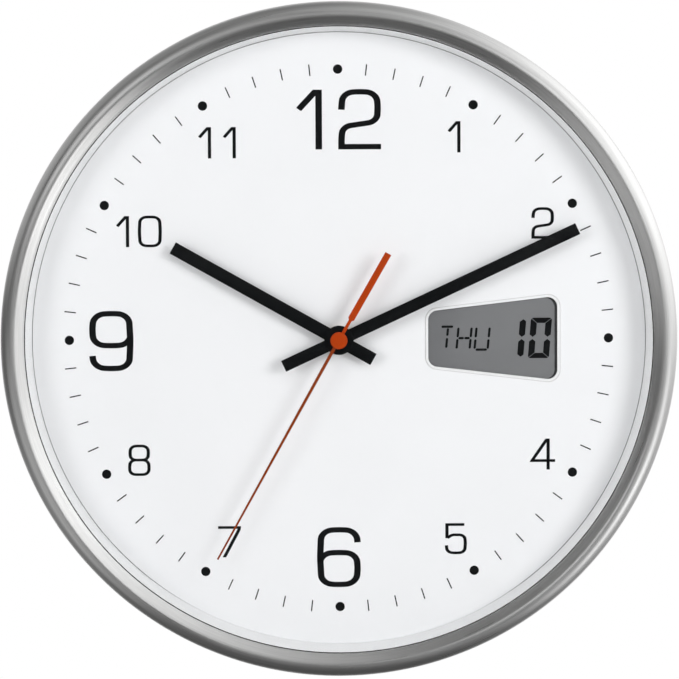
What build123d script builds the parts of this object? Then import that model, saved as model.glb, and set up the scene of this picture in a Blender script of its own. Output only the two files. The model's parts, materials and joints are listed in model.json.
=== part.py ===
from build123d import *
import math
import os

os.makedirs("parts", exist_ok=True)

# A round wall clock with a calendar window, in millimetres.
# It is drawn looking at the dial: x to the right, y up, z towards the viewer, z = 0 on the dial's face.
# At the end it is stood up: the viewer's side is -Y and up is +Z.
# The origin is the middle of the whole clock.

# Running clearances and small gaps
running_gap = 0.05
loose_gap = 0.3
clear_gap = 0.4
layer_gap = 0.4

# Rim, spun from aluminium sheet
rim_radius = 160.0
rim_sheet = 1.2
bead_width = 12.1
bead_height = 8.6
bead_centre_height = 8.4
bead_outer_width = 5.6
bead_steps = 3
fall_steps = 2
side_wall_inset = 0.8
rim_back_step = 1.0
lip_thickness = 0.6
lip_land = 3.6

# Glass, white inner ring and dial
glass_thickness = 2.0
glass_height = 11.2
rehaut_slope = 2.2
rehaut_wall = 1.8
dial_thickness = 1.0
case_fit = 0.4

# Calendar window: a four-sided opening with bowed corners, higher on its outer side
window_left = 42.4
window_right = 103.7
window_half_left = 12.95
window_half_right = 20.05
window_corner = 4.6
window_lip = 1.2
window_lip_height = 0.45

# Hands, from the dial's centre
hour_length = 89.9
hour_tail = 18.7
hour_width = 5.8
minute_length = 125.1
minute_tail = 28.8
minute_width = 5.4
seconds_length = 118.4
seconds_base_width = 1.7
seconds_tip_width = 0.5
counter_start = 12.0
counter_length = 47.0
counter_width = 2.9
counter_neck_width = 1.25
hand_thickness = 0.5
hand_bevel = 0.2
hub_cover_radius = 6.95
hub_cover_height = 0.9
cap_radius = 4.05
cap_height = 1.4
seconds_boss_half = 1.5
hour_hand_height = 4.6
minute_hand_height = 6.6
seconds_hand_height = 8.7
collar_gap = 0.25
hub_wall = 1.8
hour_angle = 299.4
minute_angle = 65.1
seconds_angle = 209.9

# Moulded dial support behind the dial
support_plate = 1.6
support_rib = 1.4
support_rib_depth = 5.0
support_ribs = 12
support_hub_radius = 46.0

# Quartz movement
movement_height = 56.0
movement_wall = 1.2
movement_cover = 1.4
washer_thickness = 0.4
washer_half = 11.0
bush_radius = 4.0
bush_proud = 0.5
nut_width = 11.0
nut_height = 1.8
partition_wall = 0.8
bay_front_wall = 1.1
middle_plate = 1.0
movement_board_half = 5.5
movement_board_y = 4.0
movement_board_gap = 1.3
movement_board_plate = 1.0

# Shafts and pipes, by radius
seconds_arbor = 0.5
minute_pipe_radius = 1.6
hour_pipe_radius = 2.5
wheel_arbor = 0.5
pivot_depth = 0.8
minute_arbor = 1.0

# Gear train: teeth and axle distances
rotor_leaves = 6
intermediate_teeth = 30
intermediate_leaves = 6
seconds_teeth = 36
seconds_leaves = 6
third_teeth = 45
third_leaves = 6
centre_teeth = 48
minute_leaves = 6
minute_teeth = 18
setting_leaves = 7
hour_teeth = 28
rotor_distance = 6.48
intermediate_distance = 9.24
third_distance = 9.2
setting_distance = 10.4
wheel_thickness = 0.8

leaf_reach = 0.2
short_leaf_reach = 0.1
wheel_addendum = 1.0
leaf_addendum = 0.7
wheel_share = 0.46
leaf_share = 0.40
root_depth = 1.25
least_tip_share = 0.08

# Motor
magnet_radius = 3.0
magnet_height = 2.6
stator_gap = 0.5
stator_thickness = 1.0
stator_half_width = 15.0
stator_below = 4.4
stator_above = 4.2
stator_ear_half = 2.0
coil_distance = 7.6
coil_half_length = 9.5
coil_half_width = 2.8
bobbin_half = 3.2
bobbin_wall = 0.4
bobbin_flange = 0.6
post_width = 3.0
core_width = 2.4

# Cells
aa_radius = 7.15
aa_length = 49.2
aaa_radius = 5.15
aaa_length = 43.3
cell_side_gap = 0.2
cell_back_gap = 0.5
cell_front_gap = 0.1
cell_top_gap = 0.4
nub_length = 1.2
nub_share = 0.38
contact_thickness = 0.4
contact_reach = 2.0
aa_contact_reach = 2.2
ridge_share = 0.2
aa_contact = 9.0
aaa_contact = 6.4

# Setting knob behind the movement
knob_radius = 5.5
knob_thickness = 3.2
knob_stand = 0.3
knob_ridges = 12
knob_notch = 0.5
knob_to_wall = 4.0

# Calendar module
polariser_thickness = 0.2
lcd_glass_thickness = 1.1
lcd_margin = 3.6
lcd_ledge = 3.0
holder_wall = 2.4
holder_margin = 2.2
holder_ledge = 3.0
holder_ledge_half = 12.0
film_inset = 1.0
strip_width = 1.6
strip_offset = 0.2
strip_inset = 4.0
board_thickness = 1.2
board_drop = 3.4
board_inset = 1.0
housing_wall = 1.5
cell_bay_floor = 0.8
cell_bay_gap = 0.1
button_half = 2.1
button_flange = 3.3
button_flange_thickness = 0.8
button_proud = 1.2
button_travel = 0.8
button_inset = 19.0
button_spacing = 18.0
button_height = 17.0
dome_height = 2.4
dome_half = 2.9
dome_foot = 0.5
cell_bay_margin = 1.0
cover_thickness = 1.4
cover_travel = 12.0
cover_lap = 2.0
cover_gap = 0.15
rail_thickness = 0.9
rail_lip = 1.1
grip_ribs = 3
grip_pitch = 2.0
grip_half = 5.0
grip_rise = 0.5
grip_first = 1.0
grip_rib_half = 0.5
module_corner = 2.0
ear_thickness = 2.0
button_gap = 0.08

# Back case
back_wall = 2.0
back_skirt = 2.0
back_recess = 1.6
back_rest_width = 16.0
well_gap = 1.6
well_wall = 1.6
well_lap = 2.0
back_rib = 1.4
back_rib_depth = 6.0
back_ribs = 8
inside_sides = 24
keyhole_height = 112.0
keyhole_head = 4.8
keyhole_slot = 2.3
keyhole_rise = 9.0

# Screws, and the flats of all thin arbors, pipes and screws
rod_sides = 12
screw_radius = 1.45
screw_head = 2.75
screw_head_thickness = 1.5
screw_length = 6.5
screw_grip = 1.6
rim_screw_height = 8.0
rim_screw_angles = (90.0, 210.0, 330.0)
boss_half = 3.0

# Small parts on the two circuit boards: length, width, height
movement_chip = (4.0, 4.0, 1.1)
movement_chip_offset = -1.5
movement_crystal = (6.0, 2.0, 1.6)
movement_crystal_offset = 3.2
calendar_chip = (8.0, 8.0, 1.4)
calendar_chip_at = (14.0, 4.0)
calendar_crystal = (7.0, 2.4, 1.8)
calendar_crystal_at = (25.5, 4.2)

# Movement housing, as wide and as deep as its cell needs
movement_depth = cell_back_gap + 2 * aa_radius + cell_front_gap + bay_front_wall
inner_half_width = aa_length / 2 + aa_contact_reach
half_width = inner_half_width + movement_wall
half_height = movement_height / 2
inner_half_height = half_height - movement_wall
partition_height = -inner_half_height + cell_side_gap + 2 * aa_radius + cell_top_gap + partition_wall

# Heights that follow from the sizes above
support_front = -dial_thickness
support_back = support_front - support_plate
movement_front = support_back - washer_thickness
movement_back = movement_front - movement_depth
knob_back = movement_back - knob_stand - knob_thickness
wall_height = knob_back - knob_to_wall
crest_height = bead_centre_height + bead_height
glass_top = glass_height + glass_thickness
overall_depth = crest_height - wall_height
print(f"overall: {2 * rim_radius:.1f} across, {overall_depth:.1f} deep")

# Radii that follow from the sizes above
lip_radius = rim_radius - bead_width
side_radius = rim_radius - side_wall_inset
case_radius = side_radius - rim_sheet
glass_radius = lip_radius + lip_land
rehaut_top = lip_radius + loose_gap
dial_opening = lip_radius - rehaut_slope
fitted_radius = case_radius - case_fit


def face_of(points):
    return make_face(Polyline(*points, close=True))


def turned(face):
    # A profile drawn with x as radius and y as height, turned round the hands' axis.
    return revolve(Plane.XZ * face, Axis.Z)


def disc(radius, low, high, x=0.0, y=0.0):
    return Pos(x, y, low) * extrude(Circle(radius), high - low)


def block(x_low, x_high, y_low, y_high, low, high):
    # The two ends of each side may come in either order.
    middle = Pos((x_low + x_high) / 2, (y_low + y_high) / 2, low)
    return middle * extrude(Rectangle(abs(x_high - x_low), abs(y_high - y_low)), high - low)


def chip_on(size, x, y, board):
    # Small part hung under a board, by its length, width and height.
    length, width, height = size
    return block(x - length / 2, x + length / 2, y - width / 2, y + width / 2, board - height, board)


def rod_along_x(outline, x_low, x_high, y, z):
    return Pos(x_low, y, z) * Rot(0, 90, 0) * extrude(outline, x_high - x_low)


def rod(radius, low, high, x=0.0, y=0.0):
    # A thin arbor, pipe or screw with a few flats, its corners on the given radius.
    return Pos(x, y, low) * extrude(RegularPolygon(radius, rod_sides), high - low)


def rod_hole(radius, low, high, x=0.0, y=0.0):
    # A hole whose flats clear the corners of a rod.
    outline = RegularPolygon(radius + running_gap, rod_sides, major_radius=False)
    return Pos(x, y, low) * extrude(outline, high - low)


def as_group(solids):
    return Compound(children=list(solids))


# Rim, glass, inner ring and dial

def bead_points():
    # Outer quarter of the bead, from its widest line to the crest, then the rounded fall to the lip.
    crest_radius = rim_radius - bead_outer_width
    lip_top = glass_top + lip_thickness
    points = []
    for step in range(bead_steps + 1):
        angle = math.radians(90.0 * step / bead_steps)
        points.append((
            crest_radius + bead_outer_width * math.cos(angle),
            bead_centre_height + bead_height * math.sin(angle),
        ))
    fall = crest_height - lip_top
    reach = crest_radius - lip_radius
    fall_radius = (reach ** 2 + fall ** 2) / (2 * fall)
    lip_angle = math.asin(reach / fall_radius)
    for step in range(1, fall_steps + 1):
        angle = lip_angle * step / fall_steps
        points.append((
            crest_radius - fall_radius * math.sin(angle),
            crest_height - fall_radius * (1 - math.cos(angle)),
        ))
    return points


def make_rim():
    # Closed sheet profile: rear edge, side wall, swelling bead, crest, inner fall and lip on the glass.
    rear = wall_height + rim_back_step
    seat = glass_radius + case_fit
    profile = [(case_radius, rear), (side_radius, rear), (side_radius, bead_centre_height - bead_height)]
    profile += bead_points()
    profile += [(lip_radius, glass_top), (seat, glass_top), (case_radius, bead_centre_height)]
    rim = turned(face_of(profile))
    for angle in rim_screw_angles:
        rim -= rim_screw(angle)
    return rim


def make_glass():
    return disc(glass_radius, glass_height, glass_top)


def make_rehaut():
    # Sloped white ring that stands on the dial and carries the glass, with flats on its hidden outside.
    ring = extrude(RegularPolygon(rehaut_top + rehaut_wall, inside_sides, major_radius=False), glass_height)
    opening = turned(face_of([(0, 0), (dial_opening, 0), (rehaut_top, glass_height), (0, glass_height)]))
    return ring - opening


def window_outline(grow):
    # Four-sided window with rounded corners, grown outward by the given amount.
    left = window_left - grow
    right = window_right + grow
    slope = (window_half_right - window_half_left) / (window_right - window_left)
    half_left = window_half_left + grow - slope * grow
    half_right = window_half_right + grow + slope * grow
    corners = [(left, -half_left), (right, -half_right), (right, half_right), (left, half_left)]
    return fillet(face_of(corners).vertices(), window_corner + grow)


def make_dial():
    plate = disc(fitted_radius, -dial_thickness, 0)
    plate -= rod_hole(bush_radius, -dial_thickness, 0)
    return plate - extrude(window_outline(window_lip + running_gap), -dial_thickness)


def make_window_frame():
    # Ring set in the dial: it stands a little proud in front and reaches back to the liquid crystal cell.
    ring = window_outline(window_lip) - window_outline(0)
    return Pos(0, 0, -dial_thickness) * extrude(ring, dial_thickness + window_lip_height)


# Hands, drawn pointing up and turned clockwise to the shown time

def turned_hand(shape, clockwise):
    return Rot(0, 0, -clockwise) * shape


def straight_hand(length, tail, width, height):
    # Flat bar with softened front edges.
    bar = block(-width / 2, width / 2, -tail, length, height, height + hand_thickness)
    return chamfer(bar.edges().filter_by(Axis.Y).group_by(Axis.Z)[-1], hand_bevel)


def make_hour_hand():
    # The hub grips the hour wheel's pipe.
    top = hour_pipe_top()
    bar = straight_hand(hour_length, hour_tail, hour_width, hour_hand_height)
    hand = turned_hand(bar + disc(hour_pipe_radius + hub_wall, hour_hand_height, top), hour_angle)
    return hand - rod(hour_pipe_radius, hour_hand_height, top)


def make_minute_hand():
    top = minute_hand_height + hand_thickness
    bar = straight_hand(minute_length, minute_tail, minute_width, minute_hand_height)
    return turned_hand(bar, minute_angle) - rod(minute_pipe_radius, minute_hand_height, top)


def make_hub_cover():
    # Round black cover over the minute hand's hub.
    low = minute_hand_height + hand_thickness
    cover = disc(hub_cover_radius, low, hub_cover_top())
    return cover - rod_hole(seconds_arbor, low, hub_cover_top())


def make_seconds_hand():
    low = seconds_hand_height
    half_base = seconds_base_width / 2
    half_tip = seconds_tip_width / 2
    half_neck = counter_neck_width / 2
    half_bar = counter_width / 2
    shoulder = counter_start + half_bar
    outline = face_of([
        (-half_tip, seconds_length),
        (half_tip, seconds_length),
        (half_base, 0),
        (half_neck, -cap_radius),
        (half_neck, -counter_start),
        (half_bar, -shoulder),
        (half_bar, -counter_length),
        (-half_bar, -counter_length),
        (-half_bar, -shoulder),
        (-half_neck, -counter_start),
        (-half_neck, -cap_radius),
        (-half_base, 0),
    ])
    hand = Pos(0, 0, low) * extrude(outline, hand_thickness)
    boss_low = hub_cover_top() + collar_gap
    hand += disc(seconds_boss_half, boss_low, low + hand_thickness)
    return turned_hand(hand, seconds_angle) - rod(seconds_arbor, boss_low, low + hand_thickness)


def make_seconds_cap():
    low = seconds_hand_height + hand_thickness
    return disc(cap_radius, low, low + cap_height)


def arbor_top():
    return seconds_hand_height + hand_thickness


def hub_cover_top():
    return minute_hand_height + hand_thickness + hub_cover_height


def hour_pipe_top():
    return hour_hand_height + hand_thickness


def bush_top():
    return nut_height + bush_proud


# Gear teeth: radial flanks below the pitch circle and rolled flanks above it, with one chord for each

def rolled_half_angle(pitch, rolling, tip, half_at_pitch):
    # Half angle left at the tip of a tooth whose flank is traced by a circle rolling on the pitch circle.
    low, high = 0.0, 1.0
    total = pitch + rolling
    for _ in range(40):
        roll = (low + high) / 2
        x = total * math.cos(roll) - rolling * math.cos(total / rolling * roll)
        y = total * math.sin(roll) - rolling * math.sin(total / rolling * roll)
        if math.hypot(x, y) < tip:
            low = roll
        else:
            high = roll
    return half_at_pitch - math.atan2(y, x)


def toothed(teeth, module, mate_teeth, low, high, first, addendum, share):
    # first is the direction of the centre of the first tooth, in degrees.
    pitch = teeth * module / 2
    mate_pitch = mate_teeth * module / 2
    step = 2 * math.pi / teeth
    half_at_pitch = share * step / 2
    tip = pitch + addendum * module
    root = pitch - root_depth * module
    rolled = rolled_half_angle(pitch, mate_pitch / 2, tip, half_at_pitch)
    tip_half = max(rolled, least_tip_share * step)
    points = []
    for number in range(teeth):
        middle = math.radians(first) + number * step
        for radius, offset in (
            (root, -half_at_pitch), (tip, -tip_half), (tip, tip_half), (root, half_at_pitch)
        ):
            points.append((radius * math.cos(middle + offset), radius * math.sin(middle + offset)))
    return Pos(0, 0, low) * extrude(face_of(points), high - low)


def wheel(teeth, module, mate, low, high, first):
    return toothed(teeth, module, mate, low, high, first, wheel_addendum, wheel_share)


def pinion(leaves, module, mate, low, high, first):
    return toothed(leaves, module, mate, low, high, first, leaf_addendum, leaf_share)


def pair_module(distance, first_teeth, second_teeth):
    return 2 * distance / (first_teeth + second_teeth)


def gap_towards(direction, teeth):
    # Direction of a tooth's centre that puts a gap between two teeth on the given direction.
    return direction + 180.0 / teeth


motor_module = pair_module(rotor_distance, rotor_leaves, intermediate_teeth)
second_module = pair_module(intermediate_distance, intermediate_leaves, seconds_teeth)
third_module = pair_module(third_distance, seconds_leaves, third_teeth)
centre_module = pair_module(third_distance, third_leaves, centre_teeth)
minute_module = pair_module(setting_distance, minute_leaves, minute_teeth)
hour_module = pair_module(setting_distance, setting_leaves, hour_teeth)

# Places of the arbors: the train goes left, the motor up and the setting wheel right.
centre_at = (0.0, 0.0)
intermediate_at = (0.0, intermediate_distance)
rotor_at = (0.0, intermediate_distance + rotor_distance)
third_at = (-third_distance, 0.0)
setting_at = (setting_distance, 0.0)

# Layers of the movement, from the front plate to the rear cover
hour_wheel_top = movement_front - movement_wall - layer_gap
hour_wheel_low = hour_wheel_top - wheel_thickness
minute_wheel_top = hour_wheel_low - 3 * layer_gap
minute_wheel_low = minute_wheel_top - wheel_thickness
middle_top = minute_wheel_low - 2 * layer_gap
middle_low = middle_top - middle_plate
centre_wheel_top = middle_low - layer_gap
centre_wheel_low = centre_wheel_top - wheel_thickness
third_wheel_top = centre_wheel_low - 2 * layer_gap
third_wheel_low = third_wheel_top - wheel_thickness
seconds_wheel_top = third_wheel_low - 1.5 * layer_gap
seconds_wheel_low = seconds_wheel_top - wheel_thickness
intermediate_top = seconds_wheel_low - 1.5 * layer_gap
intermediate_low = intermediate_top - wheel_thickness
cover_top = movement_back + movement_cover
arbor_low = cover_top - pivot_depth


def arbor_at(at):
    # Round arbor running in the middle plate and in the rear cover.
    return disc(wheel_arbor, arbor_low, middle_low + pivot_depth, *at)


def make_rotor_magnet():
    top = magnet_top()
    low = top - magnet_height
    return disc(magnet_radius, low, top, *rotor_at) - rod(wheel_arbor, low, top, *rotor_at)


def magnet_top():
    # The magnet stands half above and half below the stator.
    return stator_top() + (magnet_height - stator_thickness) / 2


def make_rotor_pinion():
    # Its arbor has flats, which the magnet is pressed on.
    low = intermediate_low - leaf_reach
    high = magnet_top() - magnet_height
    leaves = pinion(
        rotor_leaves, motor_module, intermediate_teeth, low, high, gap_towards(270, rotor_leaves)
    )
    return Pos(*rotor_at) * leaves + rod(wheel_arbor, arbor_low, middle_low + pivot_depth, *rotor_at)


def make_intermediate_wheel():
    disc_part = wheel(
        intermediate_teeth, motor_module, rotor_leaves, intermediate_low, intermediate_top, 90
    )
    low = intermediate_top
    high = seconds_wheel_top + leaf_reach
    leaves = pinion(
        intermediate_leaves, second_module, seconds_teeth, low, high, gap_towards(270, intermediate_leaves)
    )
    return Pos(*intermediate_at) * (disc_part + leaves) + arbor_at(intermediate_at)


def make_seconds_wheel():
    disc_part = wheel(
        seconds_teeth, second_module, intermediate_leaves, seconds_wheel_low, seconds_wheel_top, 90
    )
    high = third_wheel_top + leaf_reach
    leaves = pinion(
        seconds_leaves, third_module, third_teeth, seconds_wheel_top, high, gap_towards(180, seconds_leaves)
    )
    return disc_part + leaves + rod(seconds_arbor, arbor_low, arbor_top())


def make_third_wheel():
    disc_part = wheel(third_teeth, third_module, seconds_leaves, third_wheel_low, third_wheel_top, 0)
    leaves = pinion(
        third_leaves, centre_module, centre_teeth, third_wheel_top, centre_wheel_top + short_leaf_reach,
        gap_towards(0, third_leaves),
    )
    return Pos(*third_at) * (disc_part + leaves) + arbor_at(third_at)


def make_centre_wheel():
    # It grips the minute pipe by friction, so that the hands can be set.
    disc_part = wheel(centre_teeth, centre_module, third_leaves, centre_wheel_low, centre_wheel_top, 180)
    return disc_part - rod_hole(minute_pipe_radius, centre_wheel_low, centre_wheel_top)


def make_minute_pipe():
    low = centre_wheel_low - leaf_reach
    high = minute_hand_height + hand_thickness
    pipe = rod(minute_pipe_radius, low, high)
    leaf_low = minute_wheel_low - short_leaf_reach
    leaves = pinion(
        minute_leaves, minute_module, minute_teeth, leaf_low, hour_wheel_low - layer_gap,
        gap_towards(0, minute_leaves),
    )
    return pipe + leaves - rod_hole(seconds_arbor, low, high)


def make_minute_wheel():
    disc_part = wheel(minute_teeth, minute_module, minute_leaves, minute_wheel_low, minute_wheel_top, 180)
    leaves = pinion(
        setting_leaves, hour_module, hour_teeth, minute_wheel_top, hour_wheel_top + short_leaf_reach,
        gap_towards(180, setting_leaves),
    )
    # Round where it runs in the plates, with flats behind for the knob.
    shaft = rod(minute_arbor, knob_back, cover_top)
    shaft += disc(minute_arbor, cover_top, movement_front - movement_wall + pivot_depth)
    return Pos(*setting_at) * (disc_part + leaves + shaft)


def make_setting_knob():
    # Knob with a notched edge, pressed on the minute wheel's arbor.
    outline = []
    for number in range(knob_ridges):
        for part, radius in ((0.0, knob_radius), (0.5, knob_radius), (0.75, knob_radius - knob_notch)):
            angle = 2 * math.pi * (number + part) / knob_ridges
            outline.append((radius * math.cos(angle), radius * math.sin(angle)))
    body = Pos(0, 0, knob_back) * extrude(face_of(outline), knob_thickness)
    return Pos(*setting_at) * (body - rod(minute_arbor, knob_back, knob_back + knob_thickness))


def make_hour_wheel():
    disc_part = wheel(hour_teeth, hour_module, setting_leaves, hour_wheel_low, hour_wheel_top, 0)
    pipe = rod(hour_pipe_radius, hour_wheel_low, hour_pipe_top())
    bore = rod_hole(minute_pipe_radius, hour_wheel_low, hour_pipe_top())
    return disc_part + pipe - bore


# Movement housing

def movement_block(low_y, high_y, low, high):
    # Space across the inside of the movement housing.
    return block(-inner_half_width, inner_half_width, low_y, high_y, low, high)


def make_movement_front():
    # Square tray with the bush at the front and a wall between the train and the cell bay.
    tray = block(-half_width, half_width, -half_height, half_height, cover_top, movement_front)
    hollow_top = movement_front - movement_wall
    tray -= movement_block(partition_height, inner_half_height, cover_top, hollow_top)
    tray -= movement_block(-inner_half_height, partition_height - partition_wall, cover_top, bay_floor())
    tray += rod(bush_radius, movement_front, bush_top())
    tray -= rod_hole(hour_pipe_radius, hollow_top, bush_top())
    tray -= rod_hole(minute_arbor, hollow_top, hollow_top + pivot_depth, *setting_at)
    for x, y in plate_posts():
        half = post_width / 2
        tray += block(x - half, x + half, y - half, y + half, middle_top, hollow_top)
    return tray


def bay_floor():
    return movement_back + cell_back_gap + 2 * aa_radius + cell_front_gap


def plate_posts():
    # Posts in the tray's corners that carry the middle plate.
    side = inner_half_width - post_width
    high = inner_half_height - post_width
    low = partition_height + post_width
    return [(-side, high), (side, high), (-side, low), (side, low)]


def stator_top():
    return middle_low - layer_gap / 2 - bobbin_half + 1.5 * stator_thickness


def core_height():
    return rotor_at[1] + coil_distance


def make_movement_middle():
    side = inner_half_width - clear_gap
    high = inner_half_height - clear_gap
    plate = block(-side, side, partition_height + clear_gap, high, middle_low, middle_top)
    plate -= rod_hole(minute_pipe_radius, middle_low, middle_top)
    plate -= rod_hole(minute_arbor, middle_low, middle_top, *setting_at)
    for at in (intermediate_at, rotor_at, third_at):
        plate -= rod_hole(wheel_arbor, middle_low, middle_low + pivot_depth, *at)
    half = post_width / 2
    y = core_height()
    for side in (-1, 1):
        x = side * (stator_half_width - post_width)
        plate += block(x - half, x + half, y - half, y + half, stator_top(), middle_low)
    return plate


def make_movement_rear():
    # Cover over the train only; the cell bay below it stays open behind.
    cover = block(-half_width, half_width, -half_height, half_height, movement_back, cover_top)
    cover -= movement_block(-inner_half_height, partition_height - partition_wall, movement_back, cover_top)
    cover -= rod_hole(minute_arbor, movement_back, cover_top, *setting_at)
    for at in (centre_at, intermediate_at, rotor_at, third_at):
        cover -= rod_hole(wheel_arbor, arbor_low, cover_top, *at)
    return cover


def make_stator():
    top = stator_top()
    low = top - stator_thickness
    x, y = rotor_at
    plate = block(-stator_half_width, stator_half_width, y - stator_below, y + stator_above, low, top)
    ear_end = core_height() + core_width / 2
    for side in (-1, 1):
        ear = side * (stator_half_width - stator_ear_half)
        plate += block(ear - stator_ear_half, ear + stator_ear_half, y, ear_end, low, top)
    return plate - disc(magnet_radius + stator_gap, low, top, x, y)


def make_coil_core():
    top = stator_top() - stator_thickness
    y = core_height()
    return block(
        -stator_half_width, stator_half_width, y - core_width / 2, y + core_width / 2,
        top - stator_thickness, top,
    )


def coil_axis_height():
    return stator_top() - 1.5 * stator_thickness


def make_coil_bobbin():
    # Square tube on the core with a flange at each end.
    y = core_height()
    z = coil_axis_height()
    inner = core_width / 2
    outer = inner + bobbin_wall
    body = block(-coil_half_length, coil_half_length, y - outer, y + outer, z - outer, z + outer)
    for side in (-1, 1):
        end = side * coil_half_length
        shoulder = side * (coil_half_length - bobbin_flange)
        body += block(
            shoulder, end, y - bobbin_half, y + bobbin_half, z - bobbin_half, z + bobbin_half
        )
    half = stator_thickness / 2
    return body - block(-coil_half_length, coil_half_length, y - inner, y + inner, z - half, z + half)


def make_coil_winding():
    y = core_height()
    z = coil_axis_height()
    reach = coil_half_length - bobbin_flange
    outer = coil_half_width
    inner = core_width / 2 + bobbin_wall
    wound = block(-reach, reach, y - outer, y + outer, z - outer, z + outer)
    return wound - block(-reach, reach, y - inner, y + inner, z - inner, z + inner)


def movement_board_x():
    return inner_half_width - movement_board_gap - movement_board_half


def make_movement_board():
    low = middle_low - movement_board_plate
    return square_post(movement_board_x(), movement_board_y, movement_board_half, low, middle_low)


def make_movement_chip():
    y = movement_board_y + movement_chip_offset
    return chip_on(movement_chip, movement_board_x(), y, middle_low - movement_board_plate)


def make_movement_crystal():
    y = movement_board_y + movement_crystal_offset
    return chip_on(movement_crystal, movement_board_x(), y, middle_low - movement_board_plate)


def cell_along_x(radius, length, x_low, y, z):
    can = rod_along_x(Circle(radius), x_low, x_low + length - nub_length, y, z)
    nub = RegularPolygon(radius * nub_share, rod_sides)
    return can + rod_along_x(nub, x_low + length - nub_length, x_low + length, y, z)


def aa_axis():
    return (-inner_half_height + cell_side_gap + aa_radius, movement_back + cell_back_gap + aa_radius)


def make_aa_cell():
    y, z = aa_axis()
    return cell_along_x(aa_radius, aa_length, -aa_length / 2, y, z)


def end_contact(x_wall, x_cell, y, z, width):
    # Flat strip on the end wall with a pressed ridge that meets the cell.
    side = 1 if x_cell > x_wall else -1
    plate_end = x_wall + side * contact_thickness
    half = width / 2
    ridge = width * ridge_share
    flat = block(x_wall, plate_end, y - half, y + half, z - half, z + half)
    return flat + block(plate_end, x_cell, y - ridge, y + ridge, z - half, z + half)


def make_cell_contact():
    y, z = aa_axis()
    return end_contact(inner_half_width, aa_length / 2, y, z, aa_contact)


def make_cell_spring():
    y, z = aa_axis()
    return end_contact(-inner_half_width, -aa_length / 2, y, z, aa_contact)


def make_dial_washer():
    # Square rubber pad between the movement and the dial support.
    pad = block(-washer_half, washer_half, -washer_half, washer_half, movement_front, support_back)
    return pad - rod_hole(bush_radius, movement_front, support_back)


def make_hex_nut():
    body = extrude(RegularPolygon(nut_width / 2, 6, major_radius=False), nut_height)
    return body - rod(bush_radius, 0, nut_height)


# Dial support

def module_box():
    # Left, right, bottom and top of the calendar module's outside.
    margin = lcd_margin + holder_wall + holder_margin
    half = window_half_right + lcd_margin + lcd_ledge + holder_wall
    return window_left - margin, window_right + margin, -half, half


def make_dial_support():
    # Twelve-sided plate with a rib to each corner; the movement and the calendar module hang on its back.
    plate = Pos(0, 0, support_back) * extrude(RegularPolygon(fitted_radius, support_ribs), support_plate)
    rib_end = fitted_radius - back_skirt - loose_gap
    deep = support_back - support_rib_depth
    rib = block(support_hub_radius, rib_end, -support_rib / 2, support_rib / 2, deep, support_back)
    for number in range(support_ribs):
        plate += Rot(0, 0, 360.0 / support_ribs * number) * rib
    left, right, low, high = module_box()
    space = clear_gap
    plate -= block(left - space, right + space, low - space, high + space, deep, support_front)
    plate -= rod_hole(bush_radius, support_back, support_front)
    for side in (-1, 1):
        boss, hole = module_ear_boss(side)
        plate = plate + boss - hole
    return plate


def module_ear_boss(side):
    # Boss for one module screw, with its blind hole.
    y = side * module_screw_y()
    x = module_screw_x()
    boss = square_post(x, y, boss_half, ear_top(), support_back)
    return boss, rod(screw_radius, ear_top(), ear_top() + screw_grip, x, y)


def module_ear(side, foot, low, high):
    # Square ear from the module's edge out past its screw.
    x = module_screw_x()
    end = module_screw_y() + boss_half
    return block(x - boss_half, x + boss_half, side * foot, side * end, low, high)


def module_screw_x():
    left, right, low, high = module_box()
    return (left + right) / 2


def module_screw_y():
    left, right, low, high = module_box()
    return high + clear_gap + boss_half


def ear_top():
    return board_top + ear_thickness


# Calendar module

def lcd_span():
    return window_left - lcd_margin, window_right + lcd_margin


def lcd_half():
    return window_half_right + lcd_margin


cell_front = -dial_thickness
front_glass_top = cell_front - polariser_thickness
rear_glass_top = front_glass_top - lcd_glass_thickness
reflector_top = rear_glass_top - lcd_glass_thickness
reflector_low = reflector_top - polariser_thickness
board_top = reflector_low - board_drop
board_low = board_top - board_thickness
cell_bay_top = board_low - cell_bay_gap - cell_bay_floor
housing_back = cell_bay_top - cell_front_gap - 2 * aaa_radius - cell_bay_margin
housing_inner = housing_back + housing_wall


def make_lcd_front_polariser():
    left, right = lcd_span()
    half = lcd_half()
    return block(left + film_inset, right - film_inset, -half, half, front_glass_top, cell_front)


def make_lcd_front_glass():
    left, right = lcd_span()
    half = lcd_half() + lcd_ledge
    return block(left, right, -half, half, rear_glass_top, front_glass_top)


def make_lcd_rear_glass():
    left, right = lcd_span()
    half = lcd_half()
    return block(left, right, -half, half, reflector_top, rear_glass_top)


def make_lcd_reflector():
    left, right = lcd_span()
    half = lcd_half() - film_inset
    return block(left + film_inset, right - film_inset, -half, half, reflector_low, reflector_top)


def make_zebra_strips():
    left, right = lcd_span()
    middle = lcd_half() + lcd_ledge / 2 + strip_offset
    strips = []
    for side in (-1, 1):
        low = side * middle - strip_width / 2
        strips.append(
            block(left + strip_inset, right - strip_inset, low, low + strip_width, board_top, rear_glass_top)
        )
    return as_group(strips)


def make_lcd_holder():
    # Frame round the cell: it clamps the glass against the dial's back and stands on the circuit board.
    left, right, low, high = module_box()
    inner_left, inner_right = lcd_span()
    half = lcd_half() + lcd_ledge
    gap = running_gap * 2
    frame = block(left, right, low, high, board_top, cell_front)
    frame = chamfer(frame.edges().filter_by(Axis.Z), module_corner)
    frame -= block(inner_left - gap, inner_right + gap, -half - gap, half + gap, board_top, cell_front)
    for side in (-1, 1):
        x = inner_left - gap if side < 0 else inner_right + gap
        x_in = x - side * holder_ledge
        frame += block(x, x_in, -holder_ledge_half, holder_ledge_half, board_top, reflector_low)
    x = module_screw_x()
    for side in (-1, 1):
        y = side * module_screw_y()
        frame += module_ear(side, high - running_gap, board_top, ear_top())
        frame -= rod(screw_radius, board_top, ear_top(), x, y)
    return frame


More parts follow.
